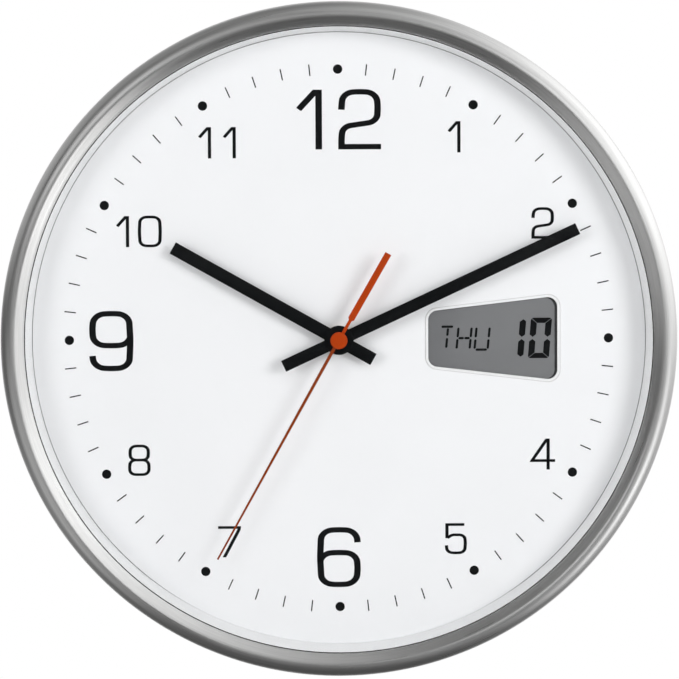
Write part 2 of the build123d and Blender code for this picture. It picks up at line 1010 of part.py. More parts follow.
def make_calendar_board():
    left, right, low, high = module_box()
    inset = board_inset
    return block(left + inset, right - inset, low + inset, high - inset, board_low, board_top)


def make_calendar_chip():
    left, right, low, high = module_box()
    x, y = calendar_chip_at
    return chip_on(calendar_chip, left + x, y, board_low)


def make_calendar_crystal():
    left, right, low, high = module_box()
    x, y = calendar_crystal_at
    return chip_on(calendar_crystal, left + x, y, board_low)


def button_places():
    left, right, low, high = module_box()
    first = left + button_inset
    return [(first, button_height), (first + button_spacing, button_height)]


def cell_axis():
    # Middle line of the AAA cell: height on the dial, and depth.
    left, right, low, high = module_box()
    y = low + rail_thickness + cover_lap + cover_gap + cell_bay_margin + aaa_radius
    z = housing_back + aaa_radius + cell_bay_margin
    return y, z


def cell_bay():
    left, right, low, high = module_box()
    y, z = cell_axis()
    half = aaa_radius + cell_bay_margin
    middle = (left + right) / 2
    reach = aaa_length / 2 + contact_reach
    return middle - reach, middle + reach, y - half, y + half


def make_calendar_housing():
    # Rear shell of the module: cell bay, slide rails for its cover, button holes and two screw ears.
    left, right, low, high = module_box()
    wall = housing_wall
    shell = block(left, right, low, high, housing_back, board_low)
    shell = chamfer(shell.edges().filter_by(Axis.Z), module_corner)
    shell -= block(left + wall, right - wall, low + wall, high - wall, housing_inner, board_low)
    bay_left, bay_right, bay_low, bay_high = cell_bay()
    shell += block(
        bay_left - wall, bay_right + wall, bay_low - wall, bay_high + wall,
        housing_back, cell_bay_top + cell_bay_floor,
    )
    shell -= block(bay_left, bay_right, bay_low, bay_high, housing_back, cell_bay_top)
    for side in (-1, 1):
        shell += cover_rail(side)
        y = side * module_screw_y()
        x = module_screw_x()
        ear_back = board_top - ear_thickness
        shell += module_ear(side, high + running_gap, ear_back, board_top)
        shell += module_ear(side, high - housing_wall, ear_back, board_low)
        shell -= rod(screw_radius, ear_back, board_top, x, y)
    for x, y in button_places():
        shell -= square_post(x, y, button_half + button_gap, housing_back, housing_inner)
    return shell


def cover_rail(side):
    # L-shaped rail: a web beside the cover and a lip over its edge, with a stop below the cover.
    bay_left, bay_right, bay_low, bay_high = cell_bay()
    edge = bay_right + cover_lap + cover_gap if side > 0 else bay_left - cover_lap - cover_gap
    lip_front = housing_back - cover_thickness - 2 * cover_gap
    lip_back = lip_front - rail_thickness
    outer = edge + side * rail_thickness
    inner = edge - side * rail_lip
    rail_low = bay_low - cover_lap - cover_gap
    rail_high = bay_high + cover_lap
    web = block(edge, outer, rail_low, rail_high, lip_back, housing_back)
    lip = block(inner, outer, rail_low, rail_high, lip_back, lip_front)
    return web + lip


def make_calendar_cell():
    y, z = cell_axis()
    left, right, low, high = module_box()
    return cell_along_x(aaa_radius, aaa_length, (left + right) / 2 - aaa_length / 2, y, z)


def make_calendar_cell_spring():
    y, z = cell_axis()
    bay_left, bay_right, bay_low, bay_high = cell_bay()
    return end_contact(bay_left, bay_left + contact_reach, y, z, aaa_contact)


def make_calendar_cell_contact():
    y, z = cell_axis()
    bay_left, bay_right, bay_low, bay_high = cell_bay()
    return end_contact(bay_right, bay_right - contact_reach, y, z, aaa_contact)


def make_calendar_cover():
    # Flat lid over the cell, held by the two rails; it slides up and comes off.
    bay_left, bay_right, bay_low, bay_high = cell_bay()
    top = housing_back - cover_gap
    low = top - cover_thickness
    lid = block(
        bay_left - cover_lap, bay_right + cover_lap, bay_low - cover_lap, bay_high + cover_lap, low, top
    )
    middle = (bay_left + bay_right) / 2
    for number in range(grip_ribs):
        y = bay_high - grip_first - grip_pitch * number
        lid += block(
            middle - grip_half, middle + grip_half, y - grip_rib_half, y + grip_rib_half, low - grip_rise, low
        )
    return lid


def make_button(place):
    # Square plunger with a flange inside the wall; it bears on its silicone pad.
    x, y = place
    low = housing_back - button_proud
    stem = square_post(x, y, button_half, low, board_low - dome_height)
    flange_low = housing_inner + running_gap
    return stem + square_post(x, y, button_flange, flange_low, flange_low + button_flange_thickness)


def square_post(x, y, half, low, high):
    return block(x - half, x + half, y - half, y + half, low, high)


def make_dome(place):
    # Silicone pad that springs the button back.
    x, y = place
    foot = square_post(x, y, dome_half, board_low - dome_foot, board_low)
    return foot + square_post(x, y, button_half, board_low - dome_height, board_low - dome_foot)


def make_module_screws():
    x = module_screw_x()
    screws = []
    for side in (-1, 1):
        y = side * module_screw_y()
        head_back = board_top - ear_thickness - screw_head_thickness
        head = rod(screw_head, head_back, board_top - ear_thickness, x, y)
        shank = rod(screw_radius, board_top - ear_thickness, ear_top() + screw_grip, x, y)
        screws.append(head + shank)
    return as_group(screws)


# Back case, and the screws that hold the rim to it

def screw_level():
    # Height of the rim screws on the case's side.
    return wall_height + rim_screw_height


def rim_screw(angle):
    # Headless screw driven inward through the side wall, flush with it.
    screw = extrude(RegularPolygon(screw_radius, rod_sides), screw_length)
    return Rot(0, 0, angle - 90) * Pos(0, side_radius, screw_level()) * Rot(90, 0, 0) * screw


def make_rim_screws():
    return as_group([rim_screw(angle) for angle in rim_screw_angles])


def keyhole_cut():
    top = wall_height + back_recess + back_wall
    slot_end = keyhole_height + keyhole_rise
    head = disc(keyhole_head, wall_height, top, 0, keyhole_height)
    slot = disc(keyhole_slot, wall_height, top, 0, slot_end)
    neck = block(-keyhole_slot, keyhole_slot, keyhole_height, slot_end, wall_height, top)
    return head + slot + neck


def make_back_case():
    # Dished cover: a flat ring rests on the wall, the middle stands clear of it, the skirt meets the support.
    rest_radius = fitted_radius - back_rest_width
    floor = wall_height + back_recess
    inside = floor + back_wall
    rib_top = inside + back_rib_depth
    skirt_in = fitted_radius - back_skirt
    case = turned(face_of([
        (0, floor),
        (rest_radius - back_recess, floor),
        (rest_radius, wall_height),
        (fitted_radius, wall_height),
        (fitted_radius, support_back),
        (0, support_back),
    ]))
    case -= Pos(0, 0, inside) * extrude(RegularPolygon(skirt_in, inside_sides), support_back - inside)
    rib = block(support_hub_radius, skirt_in, -back_rib / 2, back_rib / 2, inside, rib_top)
    for number in range(back_ribs):
        case += Rot(0, 0, 360.0 / back_ribs * (number + 0.5)) * rib
    left, right, low, high = module_box()
    well_half_width = half_width + well_gap
    well_half_height = half_height + well_gap
    wells = [
        (
            -well_half_width, well_half_width, -well_half_height, well_half_height,
            movement_back + well_lap,
        ),
        (left - well_gap, right + well_gap, low - well_gap, high + well_gap, housing_back + well_lap),
    ]
    spaces = []
    for left, right, low, high, deep in wells:
        wall = well_wall
        case += block(left - wall, right + wall, low - wall, high + wall, floor, deep)
        spaces.append(block(left, right, low, high, wall_height, max(rib_top, deep)))
    for space in spaces:
        case -= space
    case -= keyhole_cut()
    for angle in rim_screw_angles:
        case += screw_boss(angle)
    for angle in rim_screw_angles:
        case -= rim_screw(angle)
    return case


def screw_boss(angle):
    # Thick pad inside the skirt that takes one rim screw.
    inner = side_radius - screw_length - back_wall
    outer = fitted_radius - back_skirt
    floor = wall_height + back_recess + back_wall
    pad = block(-boss_half, boss_half, inner, outer, floor, screw_level() + boss_half)
    return Rot(0, 0, angle - 90) * pad


# Everything by the name of its file

def make_all():
    places = button_places()
    return {
        "rim": make_rim(),
        "glass": make_glass(),
        "rehaut": make_rehaut(),
        "dial": make_dial(),
        "window_frame": make_window_frame(),
        "dial_support": make_dial_support(),
        "back_case": make_back_case(),
        "rim_screws": make_rim_screws(),
        "lcd_front_polariser": make_lcd_front_polariser(),
        "lcd_front_glass": make_lcd_front_glass(),
        "lcd_rear_glass": make_lcd_rear_glass(),
        "lcd_reflector": make_lcd_reflector(),
        "lcd_holder": make_lcd_holder(),
        "zebra_strips": make_zebra_strips(),
        "calendar_board": make_calendar_board(),
        "calendar_chip": make_calendar_chip(),
        "calendar_crystal": make_calendar_crystal(),
        "calendar_housing": make_calendar_housing(),
        "calendar_cell": make_calendar_cell(),
        "calendar_cell_spring": make_calendar_cell_spring(),
        "calendar_cell_contact": make_calendar_cell_contact(),
        "calendar_cover": make_calendar_cover(),
        "module_screws": make_module_screws(),
        "set_button": make_button(places[0]),
        "adjust_button": make_button(places[1]),
        "set_dome": make_dome(places[0]),
        "adjust_dome": make_dome(places[1]),
        "movement_front": make_movement_front(),
        "movement_middle": make_movement_middle(),
        "movement_rear": make_movement_rear(),
        "dial_washer": make_dial_washer(),
        "hex_nut": make_hex_nut(),
        "stator": make_stator(),
        "coil_core": make_coil_core(),
        "coil_bobbin": make_coil_bobbin(),
        "coil_winding": make_coil_winding(),
        "movement_board": make_movement_board(),
        "movement_chip": make_movement_chip(),
        "movement_crystal": make_movement_crystal(),
        "aa_cell": make_aa_cell(),
        "cell_spring": make_cell_spring(),
        "cell_contact": make_cell_contact(),
        "rotor_magnet": make_rotor_magnet(),
        "rotor_pinion": make_rotor_pinion(),
        "intermediate_wheel": make_intermediate_wheel(),
        "seconds_wheel": make_seconds_wheel(),
        "seconds_hand": make_seconds_hand(),
        "seconds_cap": make_seconds_cap(),
        "third_wheel": make_third_wheel(),
        "centre_wheel": make_centre_wheel(),
        "minute_pipe": make_minute_pipe(),
        "minute_hand": make_minute_hand(),
        "hub_cover": make_hub_cover(),
        "minute_wheel": make_minute_wheel(),
        "setting_knob": make_setting_knob(),
        "hour_wheel": make_hour_wheel(),
        "hour_hand": make_hour_hand(),
    }


# The dial's face lies in front of the middle of the clock's depth.
dial_plane_y = crest_height - overall_depth / 2
standing = Plane(origin=(0, dial_plane_y, 0), x_dir=(1, 0, 0), z_dir=(0, -1, 0)).location

for name, shape in make_all().items():
    export_step(standing * shape, f"parts/{name}.step")
print("dial face at y =", round(dial_plane_y, 3))
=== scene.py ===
import json
from math import atan2, cos, degrees, hypot, radians, sin, tan, tau

import bmesh
import bpy
from mathutils import Matrix, Vector


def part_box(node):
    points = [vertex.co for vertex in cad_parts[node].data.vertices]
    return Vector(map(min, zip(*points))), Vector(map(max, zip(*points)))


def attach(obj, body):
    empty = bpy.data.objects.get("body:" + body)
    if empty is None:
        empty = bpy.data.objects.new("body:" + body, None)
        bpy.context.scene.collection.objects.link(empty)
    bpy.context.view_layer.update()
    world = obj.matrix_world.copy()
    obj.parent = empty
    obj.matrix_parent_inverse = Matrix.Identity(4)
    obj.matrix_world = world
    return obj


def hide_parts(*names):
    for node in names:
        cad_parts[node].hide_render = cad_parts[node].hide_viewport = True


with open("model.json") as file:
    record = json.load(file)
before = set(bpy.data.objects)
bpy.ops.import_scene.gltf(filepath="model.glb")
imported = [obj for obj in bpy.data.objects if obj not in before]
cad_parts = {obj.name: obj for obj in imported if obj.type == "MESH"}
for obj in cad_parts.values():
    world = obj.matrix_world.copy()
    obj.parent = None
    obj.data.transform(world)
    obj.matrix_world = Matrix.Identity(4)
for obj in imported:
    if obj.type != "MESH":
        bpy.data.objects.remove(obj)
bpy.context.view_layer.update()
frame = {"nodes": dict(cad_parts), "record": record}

mm = 0.001
nodes = frame["nodes"]
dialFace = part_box("dial")[0].y          # the printed side looks towards -Y
mergeGap = 0.0005
creaseAngle = 32
sharpAngle = 30
slotOf = {part["node"]: part["material_slot"] for part in frame["record"]["subparts"]}
bodyOf = {node: body for body, members in frame["record"]["behaviour"]["bodies"].items() for node in members}
print("frame loaded:", len(nodes), "nodes")


def heightOf(node, front=True):
    # Height of a node's front or back above the dial's face, in millimetres.
    low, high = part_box(node)
    return (dialFace - (low.y if front else high.y)) / mm


# Shared drawing helpers. Pieces are drawn looking at the dial in millimetres: x right, y up, z to the viewer.

def standUp(bm):
    upright = Matrix.Translation((0, dialFace, 0)) @ Matrix.Rotation(radians(90), 4, "X")
    bmesh.ops.transform(bm, matrix=upright @ Matrix.Scale(mm, 4), verts=bm.verts)


def toMesh(bm, name):
    mesh = bpy.data.meshes.new(name)
    bm.to_mesh(mesh)
    bm.free()
    return mesh


def addObject(name, data):
    added = bpy.data.objects.new(name, data)
    bpy.context.scene.collection.objects.link(added)
    return added


def join(whole, mesh):
    # Adds a mesh to a shape and clears the mesh away.
    whole.from_mesh(mesh)
    bpy.data.meshes.remove(mesh)


def makePiece(name, bm, slot, replaced=(), finish=None, upright=True):
    # A piece rides with the node that it replaces, or else with the case.
    body = bodyOf[replaced[0]] if replaced else "case"
    bmesh.ops.remove_doubles(bm, verts=bm.verts, dist=mergeGap if upright else mergeGap * mm)
    bmesh.ops.recalc_face_normals(bm, faces=bm.faces)
    if upright:
        standUp(bm)
    mesh = toMesh(bm, name)
    mesh.materials.append(materials[finish or slot])
    mesh.polygons.foreach_set("use_smooth", [True] * len(mesh.polygons))
    mesh.set_sharp_from_angle(angle=radians(creaseAngle))
    piece = addObject(name, mesh)
    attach(piece, body)
    if replaced:
        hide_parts(*replaced)
    return piece


def drawLine(bm, points, closed):
    # Points joined one to the next, and the last to the first where the line is closed.
    verts = [bm.verts.new(point) for point in points]
    edges = [bm.edges.new(pair) for pair in zip(verts, verts[1:] + verts[:closed])]
    return verts, edges


def lift(bm, extruded, height):
    # Moves what an extrusion has just made towards the viewer.
    tops = [item for item in extruded["geom"] if isinstance(item, bmesh.types.BMVert)]
    bmesh.ops.translate(bm, verts=tops, vec=(0, 0, height))


def bevelEdges(bm, edges, width, segments=2, clamp=False):
    bmesh.ops.bevel(bm, geom=edges, offset=width, offset_type="OFFSET", affect="EDGES", segments=segments,
                    profile=0.5, material=-1, clamp_overlap=clamp)


def modified(bm, kind, **settings):
    # The shape that a modifier makes; removing a mesh takes its object away too.
    piece = addObject("shape", toMesh(bm, "shape"))
    modifier = piece.modifiers.new("shape", kind)
    for key, value in settings.items():
        setattr(modifier, key, value)
    bpy.context.view_layer.update()
    made = bpy.data.meshes.new_from_object(piece.evaluated_get(bpy.context.evaluated_depsgraph_get()))
    bpy.data.meshes.remove(piece.data)
    shape = bmesh.new()
    join(shape, made)
    return shape


def spun(profile, steps, closed=True):
    # A profile of (radius, height) points turned once round the hands' axis.
    bm = bmesh.new()
    verts, edges = drawLine(bm, [(radius, 0, height) for radius, height in profile], closed)
    bmesh.ops.spin(bm, geom=verts + edges, cent=(0, 0, 0), axis=(0, 0, 1), angle=tau,
                   steps=steps, use_merge=True)
    bmesh.ops.remove_doubles(bm, verts=bm.verts, dist=mergeGap)
    return bm


def arcPoints(centre, reach, start, end, count):
    # Points on an ellipse: centre and reach are (radius, height) pairs, angles in degrees.
    points = []
    for step in range(count + 1):
        angle = radians(start + (end - start) * step / count)
        points.append((centre[0] + reach[0] * cos(angle), centre[1] + reach[1] * sin(angle)))
    return points


def softEdged(node, width):
    # A copy of a CAD node's mesh with its flat triangles merged and its sharp edges rounded.
    bm = bmesh.new()
    bm.from_mesh(nodes[node].data)
    bmesh.ops.remove_doubles(bm, verts=bm.verts, dist=0.002 * mm)
    bmesh.ops.dissolve_limit(bm, angle_limit=radians(1), verts=bm.verts, edges=bm.edges)
    sharp = [edge for edge in bm.edges
             if len(edge.link_faces) == 2 and edge.calc_face_angle() > radians(sharpAngle)]
    bevelEdges(bm, sharp, width * mm, clamp=True)
    return bm


# Shader helpers

def feed(tree, socket, value):
    # A value is a number, a colour, a direction or another node's output socket.
    if isinstance(value, bpy.types.NodeSocket):
        tree.links.new(value, socket)
    elif value is not None:
        socket.default_value = (*value, 1) if socket.type == "RGBA" else value


def addNode(tree, kind, values=None, **settings):
    node = tree.nodes.new(kind)
    for key, value in settings.items():
        setattr(node, key, value)
    for key, value in (values or {}).items():
        feed(tree, node.inputs[key], value)
    return node


def mixColours(tree, mask, first, second, blend="MIX"):
    values = {0: mask, 6: first, 7: second}
    return addNode(tree, "ShaderNodeMix", values, data_type="RGBA", blend_type=blend).outputs[2]


def remap(tree, source, low, high, newLow=0.0, newHigh=1.0, smooth=False):
    values = {"Value": source, "From Min": low, "From Max": high, "To Min": newLow, "To Max": newHigh}
    kind = "SMOOTHSTEP" if smooth else "LINEAR"
    return addNode(tree, "ShaderNodeMapRange", values, interpolation_type=kind).outputs[0]


def calculate(tree, operation, first, second=None):
    return addNode(tree, "ShaderNodeMath", {0: first, 1: second}, operation=operation).outputs[0]


def times(tree, first, *factors):
    for factor in factors:
        first = calculate(tree, "MULTIPLY", first, factor)
    return first


def coordinates(tree, kind="Object"):
    return addNode(tree, "ShaderNodeTexCoord").outputs[kind]


def axesOf(tree, vector):
    return addNode(tree, "ShaderNodeSeparateXYZ", {0: vector}).outputs


def noiseAt(tree, vector, scale, detail, roughness=0.5):
    values = {"Vector": vector, "Scale": scale, "Detail": detail, "Roughness": roughness}
    return addNode(tree, "ShaderNodeTexNoise", values).outputs[0]


def newGroup(name, given, made):
    # Inputs are given with their usual values; all inputs and outputs are plain numbers.
    group = bpy.data.node_groups.new(name, "ShaderNodeTree")
    for key, value in given.items():
        socket = group.interface.new_socket(name=key, in_out="INPUT", socket_type="NodeSocketFloat")
        socket.default_value = value
    for key in made:
        group.interface.new_socket(name=key, in_out="OUTPUT", socket_type="NodeSocketFloat")
    return group, group.nodes.new("NodeGroupInput").outputs, group.nodes.new("NodeGroupOutput").inputs


def makeGrainGroup():
    # Fine moulded or painted grain: a height for bump and a slow patchy tone.
    group, given, out = newGroup("surfaceGrain", {"Grain Size": 0.4, "Patch Size": 20.0}, ["Height", "Tone"])
    for size, detail, key in (("Grain Size", 3.0, "Height"), ("Patch Size", 4.0, "Tone")):
        scale = calculate(group, "DIVIDE", 1 / mm, given[size])
        noise = noiseAt(group, coordinates(group), scale, detail, 0.6)
        feed(group, out[key], remap(group, noise, 0.3, 0.7))
    return group


def makeBrushGroup():
    # Brushing that runs round the clock's axis: thin rings, broken up slowly along their length.
    group, given, out = newGroup("ringBrushing", {"Line Width": 0.18, "Length": 6.0}, ["Lines", "Streaks"])
    x, y, z = axesOf(group, coordinates(group))
    radius = calculate(group, "SQRT", calculate(group, "ADD", times(group, x, x), times(group, z, z)))
    angle = calculate(group, "ARCTAN2", x, z)
    perLine = calculate(group, "DIVIDE", 1 / mm, given["Line Width"])
    for key, share, along in (("Lines", 1.0, 1.0), ("Streaks", 0.12, 0.45)):
        spread = times(group, perLine, share)
        at = addNode(group, "ShaderNodeCombineXYZ", {
            0: times(group, radius, spread), 1: times(group, y, spread),
            2: times(group, angle, times(group, given["Length"], along)),
        })
        feed(group, out[key], remap(group, noiseAt(group, at.outputs[0], 1.0, 2.0, 0.55), 0.28, 0.72))
    return group


def makeEdgeGroup():
    # Mask that is bright where a sharp outer edge has been rubbed.
    group, given, out = newGroup("rubbedEdges", {"Width": 0.4}, ["Mask"])
    bevel = addNode(group, "ShaderNodeBevel", {"Radius": times(group, given["Width"], mm)}, samples=4)
    flat = addNode(group, "ShaderNodeNewGeometry").outputs["Normal"]
    match = addNode(group, "ShaderNodeVectorMath", {0: bevel.outputs[0], 1: flat}, operation="DOT_PRODUCT")
    edge = remap(group, match.outputs["Value"], 0.98, 0.8, smooth=True)
    rubbed = remap(group, noiseAt(group, coordinates(group), 700.0, 3.0), 0.35, 0.65)
    feed(group, out["Mask"], times(group, edge, rubbed))
    return group


def makeDustGroup():
    # Light dust: more on faces that look up, broken into small patches.
    group, given, out = newGroup("restingDust", {"Amount": 0.2}, ["Mask"])
    upwards = axesOf(group, addNode(group, "ShaderNodeNewGeometry").outputs["Normal"])[2]
    lying = remap(group, upwards, -0.2, 1.0, 0.15, 1.0)
    patches = remap(group, noiseAt(group, coordinates(group), 180.0, 5.0, 0.7), 0.42, 0.68)
    feed(group, out["Mask"], times(group, lying, patches, given["Amount"]))
    return group


grainGroup = makeGrainGroup()
brushGroup = makeBrushGroup()
edgeGroup = makeEdgeGroup()
dustGroup = makeDustGroup()
dustColour = (0.62, 0.60, 0.57)
worn = {"paler": 0.18, "smoothest": 0.85, "roughest": 1.12}       # shares of a plain surface's own values
rolled = {"smoothest": 0.75, "roughest": 1.3}


def placeGroup(tree, group, values):
    return addNode(tree, "ShaderNodeGroup", values, node_tree=group).outputs


def newMaterial(name, settings):
    # The settings go straight on the Principled shader's own sockets.
    material = bpy.data.materials.new(name)
    material.use_nodes = True
    tree = material.node_tree
    sockets = tree.nodes["Principled BSDF"].inputs
    for key, value in settings.items():
        feed(tree, sockets[key], value)
    return material, tree, sockets


def addBump(tree, sockets, height, depth):
    bump = addNode(tree, "ShaderNodeBump", {"Height": height, "Strength": 1.0, "Distance": depth * mm})
    feed(tree, sockets["Normal"], bump.outputs[0])


def mouldedFinish(name, look):
    # Plastic, rubber, paint and film: grain, patchy tone, rubbed edges and a little dust.
    material, tree, sockets = newMaterial(name, look["shader"])
    grain = placeGroup(tree, grainGroup, {"Grain Size": look["grain"], "Patch Size": look["patch"]})
    colour, roughness = look["colour"], look["roughness"]
    deeper = [part * (1 - look["contrast"]) for part in colour]
    tone = mixColours(tree, grain["Tone"], deeper, colour)
    if look.get("rubbed"):
        paler = [part + (1 - part) * worn["paler"] for part in colour]
        tone = mixColours(tree, placeGroup(tree, edgeGroup, {"Width": look["rubbed"]})[0], tone, paler)
    if look.get("dust"):
        tone = mixColours(tree, placeGroup(tree, dustGroup, {"Amount": look["dust"]})[0], tone, dustColour)
    feed(tree, sockets["Base Color"], tone)
    feed(tree, sockets["Roughness"], remap(tree, grain["Tone"], 0, 1, roughness * worn["smoothest"],
                                           min(roughness * worn["roughest"], 1.0)))
    addBump(tree, sockets, grain["Height"], look["depth"])
    return material


def metalFinish(name, look):
    # Sheet or turned metal: fine rolling marks, patchy tone and a touch of tarnish.
    material, tree, sockets = newMaterial(name, {"Metallic": 1.0})
    grain = placeGroup(tree, grainGroup, {"Grain Size": look["grain"], "Patch Size": look["patch"]})
    roughness = look["roughness"]
    feed(tree, sockets["Base Color"], mixColours(tree, grain["Tone"], look["tarnish"], look["colour"]))
    feed(tree, sockets["Roughness"], remap(tree, grain["Height"], 0, 1, roughness * rolled["smoothest"],
                                           roughness * rolled["roughest"]))
    addBump(tree, sockets, grain["Height"], look["depth"])
    return material


brushed = {"light": (0.80, 0.80, 0.79), "dark": (0.60, 0.60, 0.60), "lineWidth": 0.16, "lineLength": 7.0,
           "streaks": 0.35, "roughness": (0.27, 0.37), "depth": 0.004}


def makeBrushedAluminium():
    material, tree, sockets = newMaterial("brushedAluminium", {
        "Metallic": 1.0, "Anisotropic": 0.65, "Anisotropic Rotation": 0.25,
    })
    sizes = {"Line Width": brushed["lineWidth"], "Length": brushed["lineLength"]}
    brush = placeGroup(tree, brushGroup, sizes)
    tone = mixColours(tree, brush["Lines"], brushed["dark"], brushed["light"])
    streaks = remap(tree, brush["Streaks"], 0, 1, 0.0, brushed["streaks"])
    feed(tree, sockets["Base Color"], mixColours(tree, streaks, tone, brushed["light"]))
    feed(tree, sockets["Roughness"], remap(tree, brush["Streaks"], 0, 1, *brushed["roughness"]))
    tangent = addNode(tree, "ShaderNodeTangent", direction_type="RADIAL", axis="Y")
    feed(tree, sockets["Tangent"], tangent.outputs[0])
    addBump(tree, sockets, brush["Lines"], brushed["depth"])
    return material


def coverWith(tree, share, other):
    # Another shader takes the place of the Principled one by the given share.
    own = tree.nodes["Principled BSDF"].outputs[0]
    mix = addNode(tree, "ShaderNodeMixShader", {0: share, 1: own, 2: other.outputs[0]})
    feed(tree, tree.nodes["Material Output"].inputs["Surface"], mix.outputs[0])


def makeClearGlass(name, tint):
    # Light passes straight to the dial, so that the glass casts no black shadow.
    material, tree, sockets = newMaterial(name, {
        "Base Color": tint, "Roughness": 0.0, "IOR": 1.45, "Transmission Weight": 1.0,
    })
    rays = addNode(tree, "ShaderNodeLightPath").outputs
    either = calculate(tree, "MAXIMUM", rays["Is Shadow Ray"], rays["Is Diffuse Ray"])
    coverWith(tree, either, addNode(tree, "ShaderNodeBsdfTransparent", {"Color": tint}))
    return material


def blendAlong(material, axis, start, end, other, blend="MIX"):
    # The finish takes another colour between two places along an axis of the part.
    tree = material.node_tree
    socket = tree.nodes["Principled BSDF"].inputs["Base Color"]
    share = remap(tree, axesOf(tree, coordinates(tree))[axis], start, end)
    feed(tree, socket, mixColours(tree, share, socket.links[0].from_socket, other, blend))


# Cell jackets: places along a cell are shares of its length
cellJacket = {
    "colour": (0.015, 0.016, 0.018), "roughness": 0.32, "grain": 0.3, "patch": 12.0, "contrast": 0.2,
    "depth": 0.004, "shader": {"Coat Weight": 0.3, "Coat Roughness": 0.1},
    "band": (0.50, 0.24, 0.06), "bandFrom": 0.7,
    "bareSteel": (0.62, 0.61, 0.59), "bareBelow": 0.012, "bareFrom": 0.968,
}


def makeCellJacket(node):
    # Printed sleeve of a cell with a plain band at its positive end; its can ends are bare steel.
    low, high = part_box(node)
    material = mouldedFinish(node + "Jacket", cellJacket)
    tree = material.node_tree
    sockets = tree.nodes["Principled BSDF"].inputs
    along = remap(tree, axesOf(tree, coordinates(tree))[0], low.x, high.x)
    inBand = calculate(tree, "GREATER_THAN", along, cellJacket["bandFrom"])
    sleeve = mixColours(tree, inBand, sockets["Base Color"].links[0].from_socket, cellJacket["band"])
    bare = calculate(tree, "MAXIMUM", calculate(tree, "GREATER_THAN", along, cellJacket["bareFrom"]),
                     calculate(tree, "LESS_THAN", along, cellJacket["bareBelow"]))
    feed(tree, sockets["Base Color"], mixColours(tree, bare, sleeve, cellJacket["bareSteel"]))
    feed(tree, sockets["Metallic"], bare)
    return material


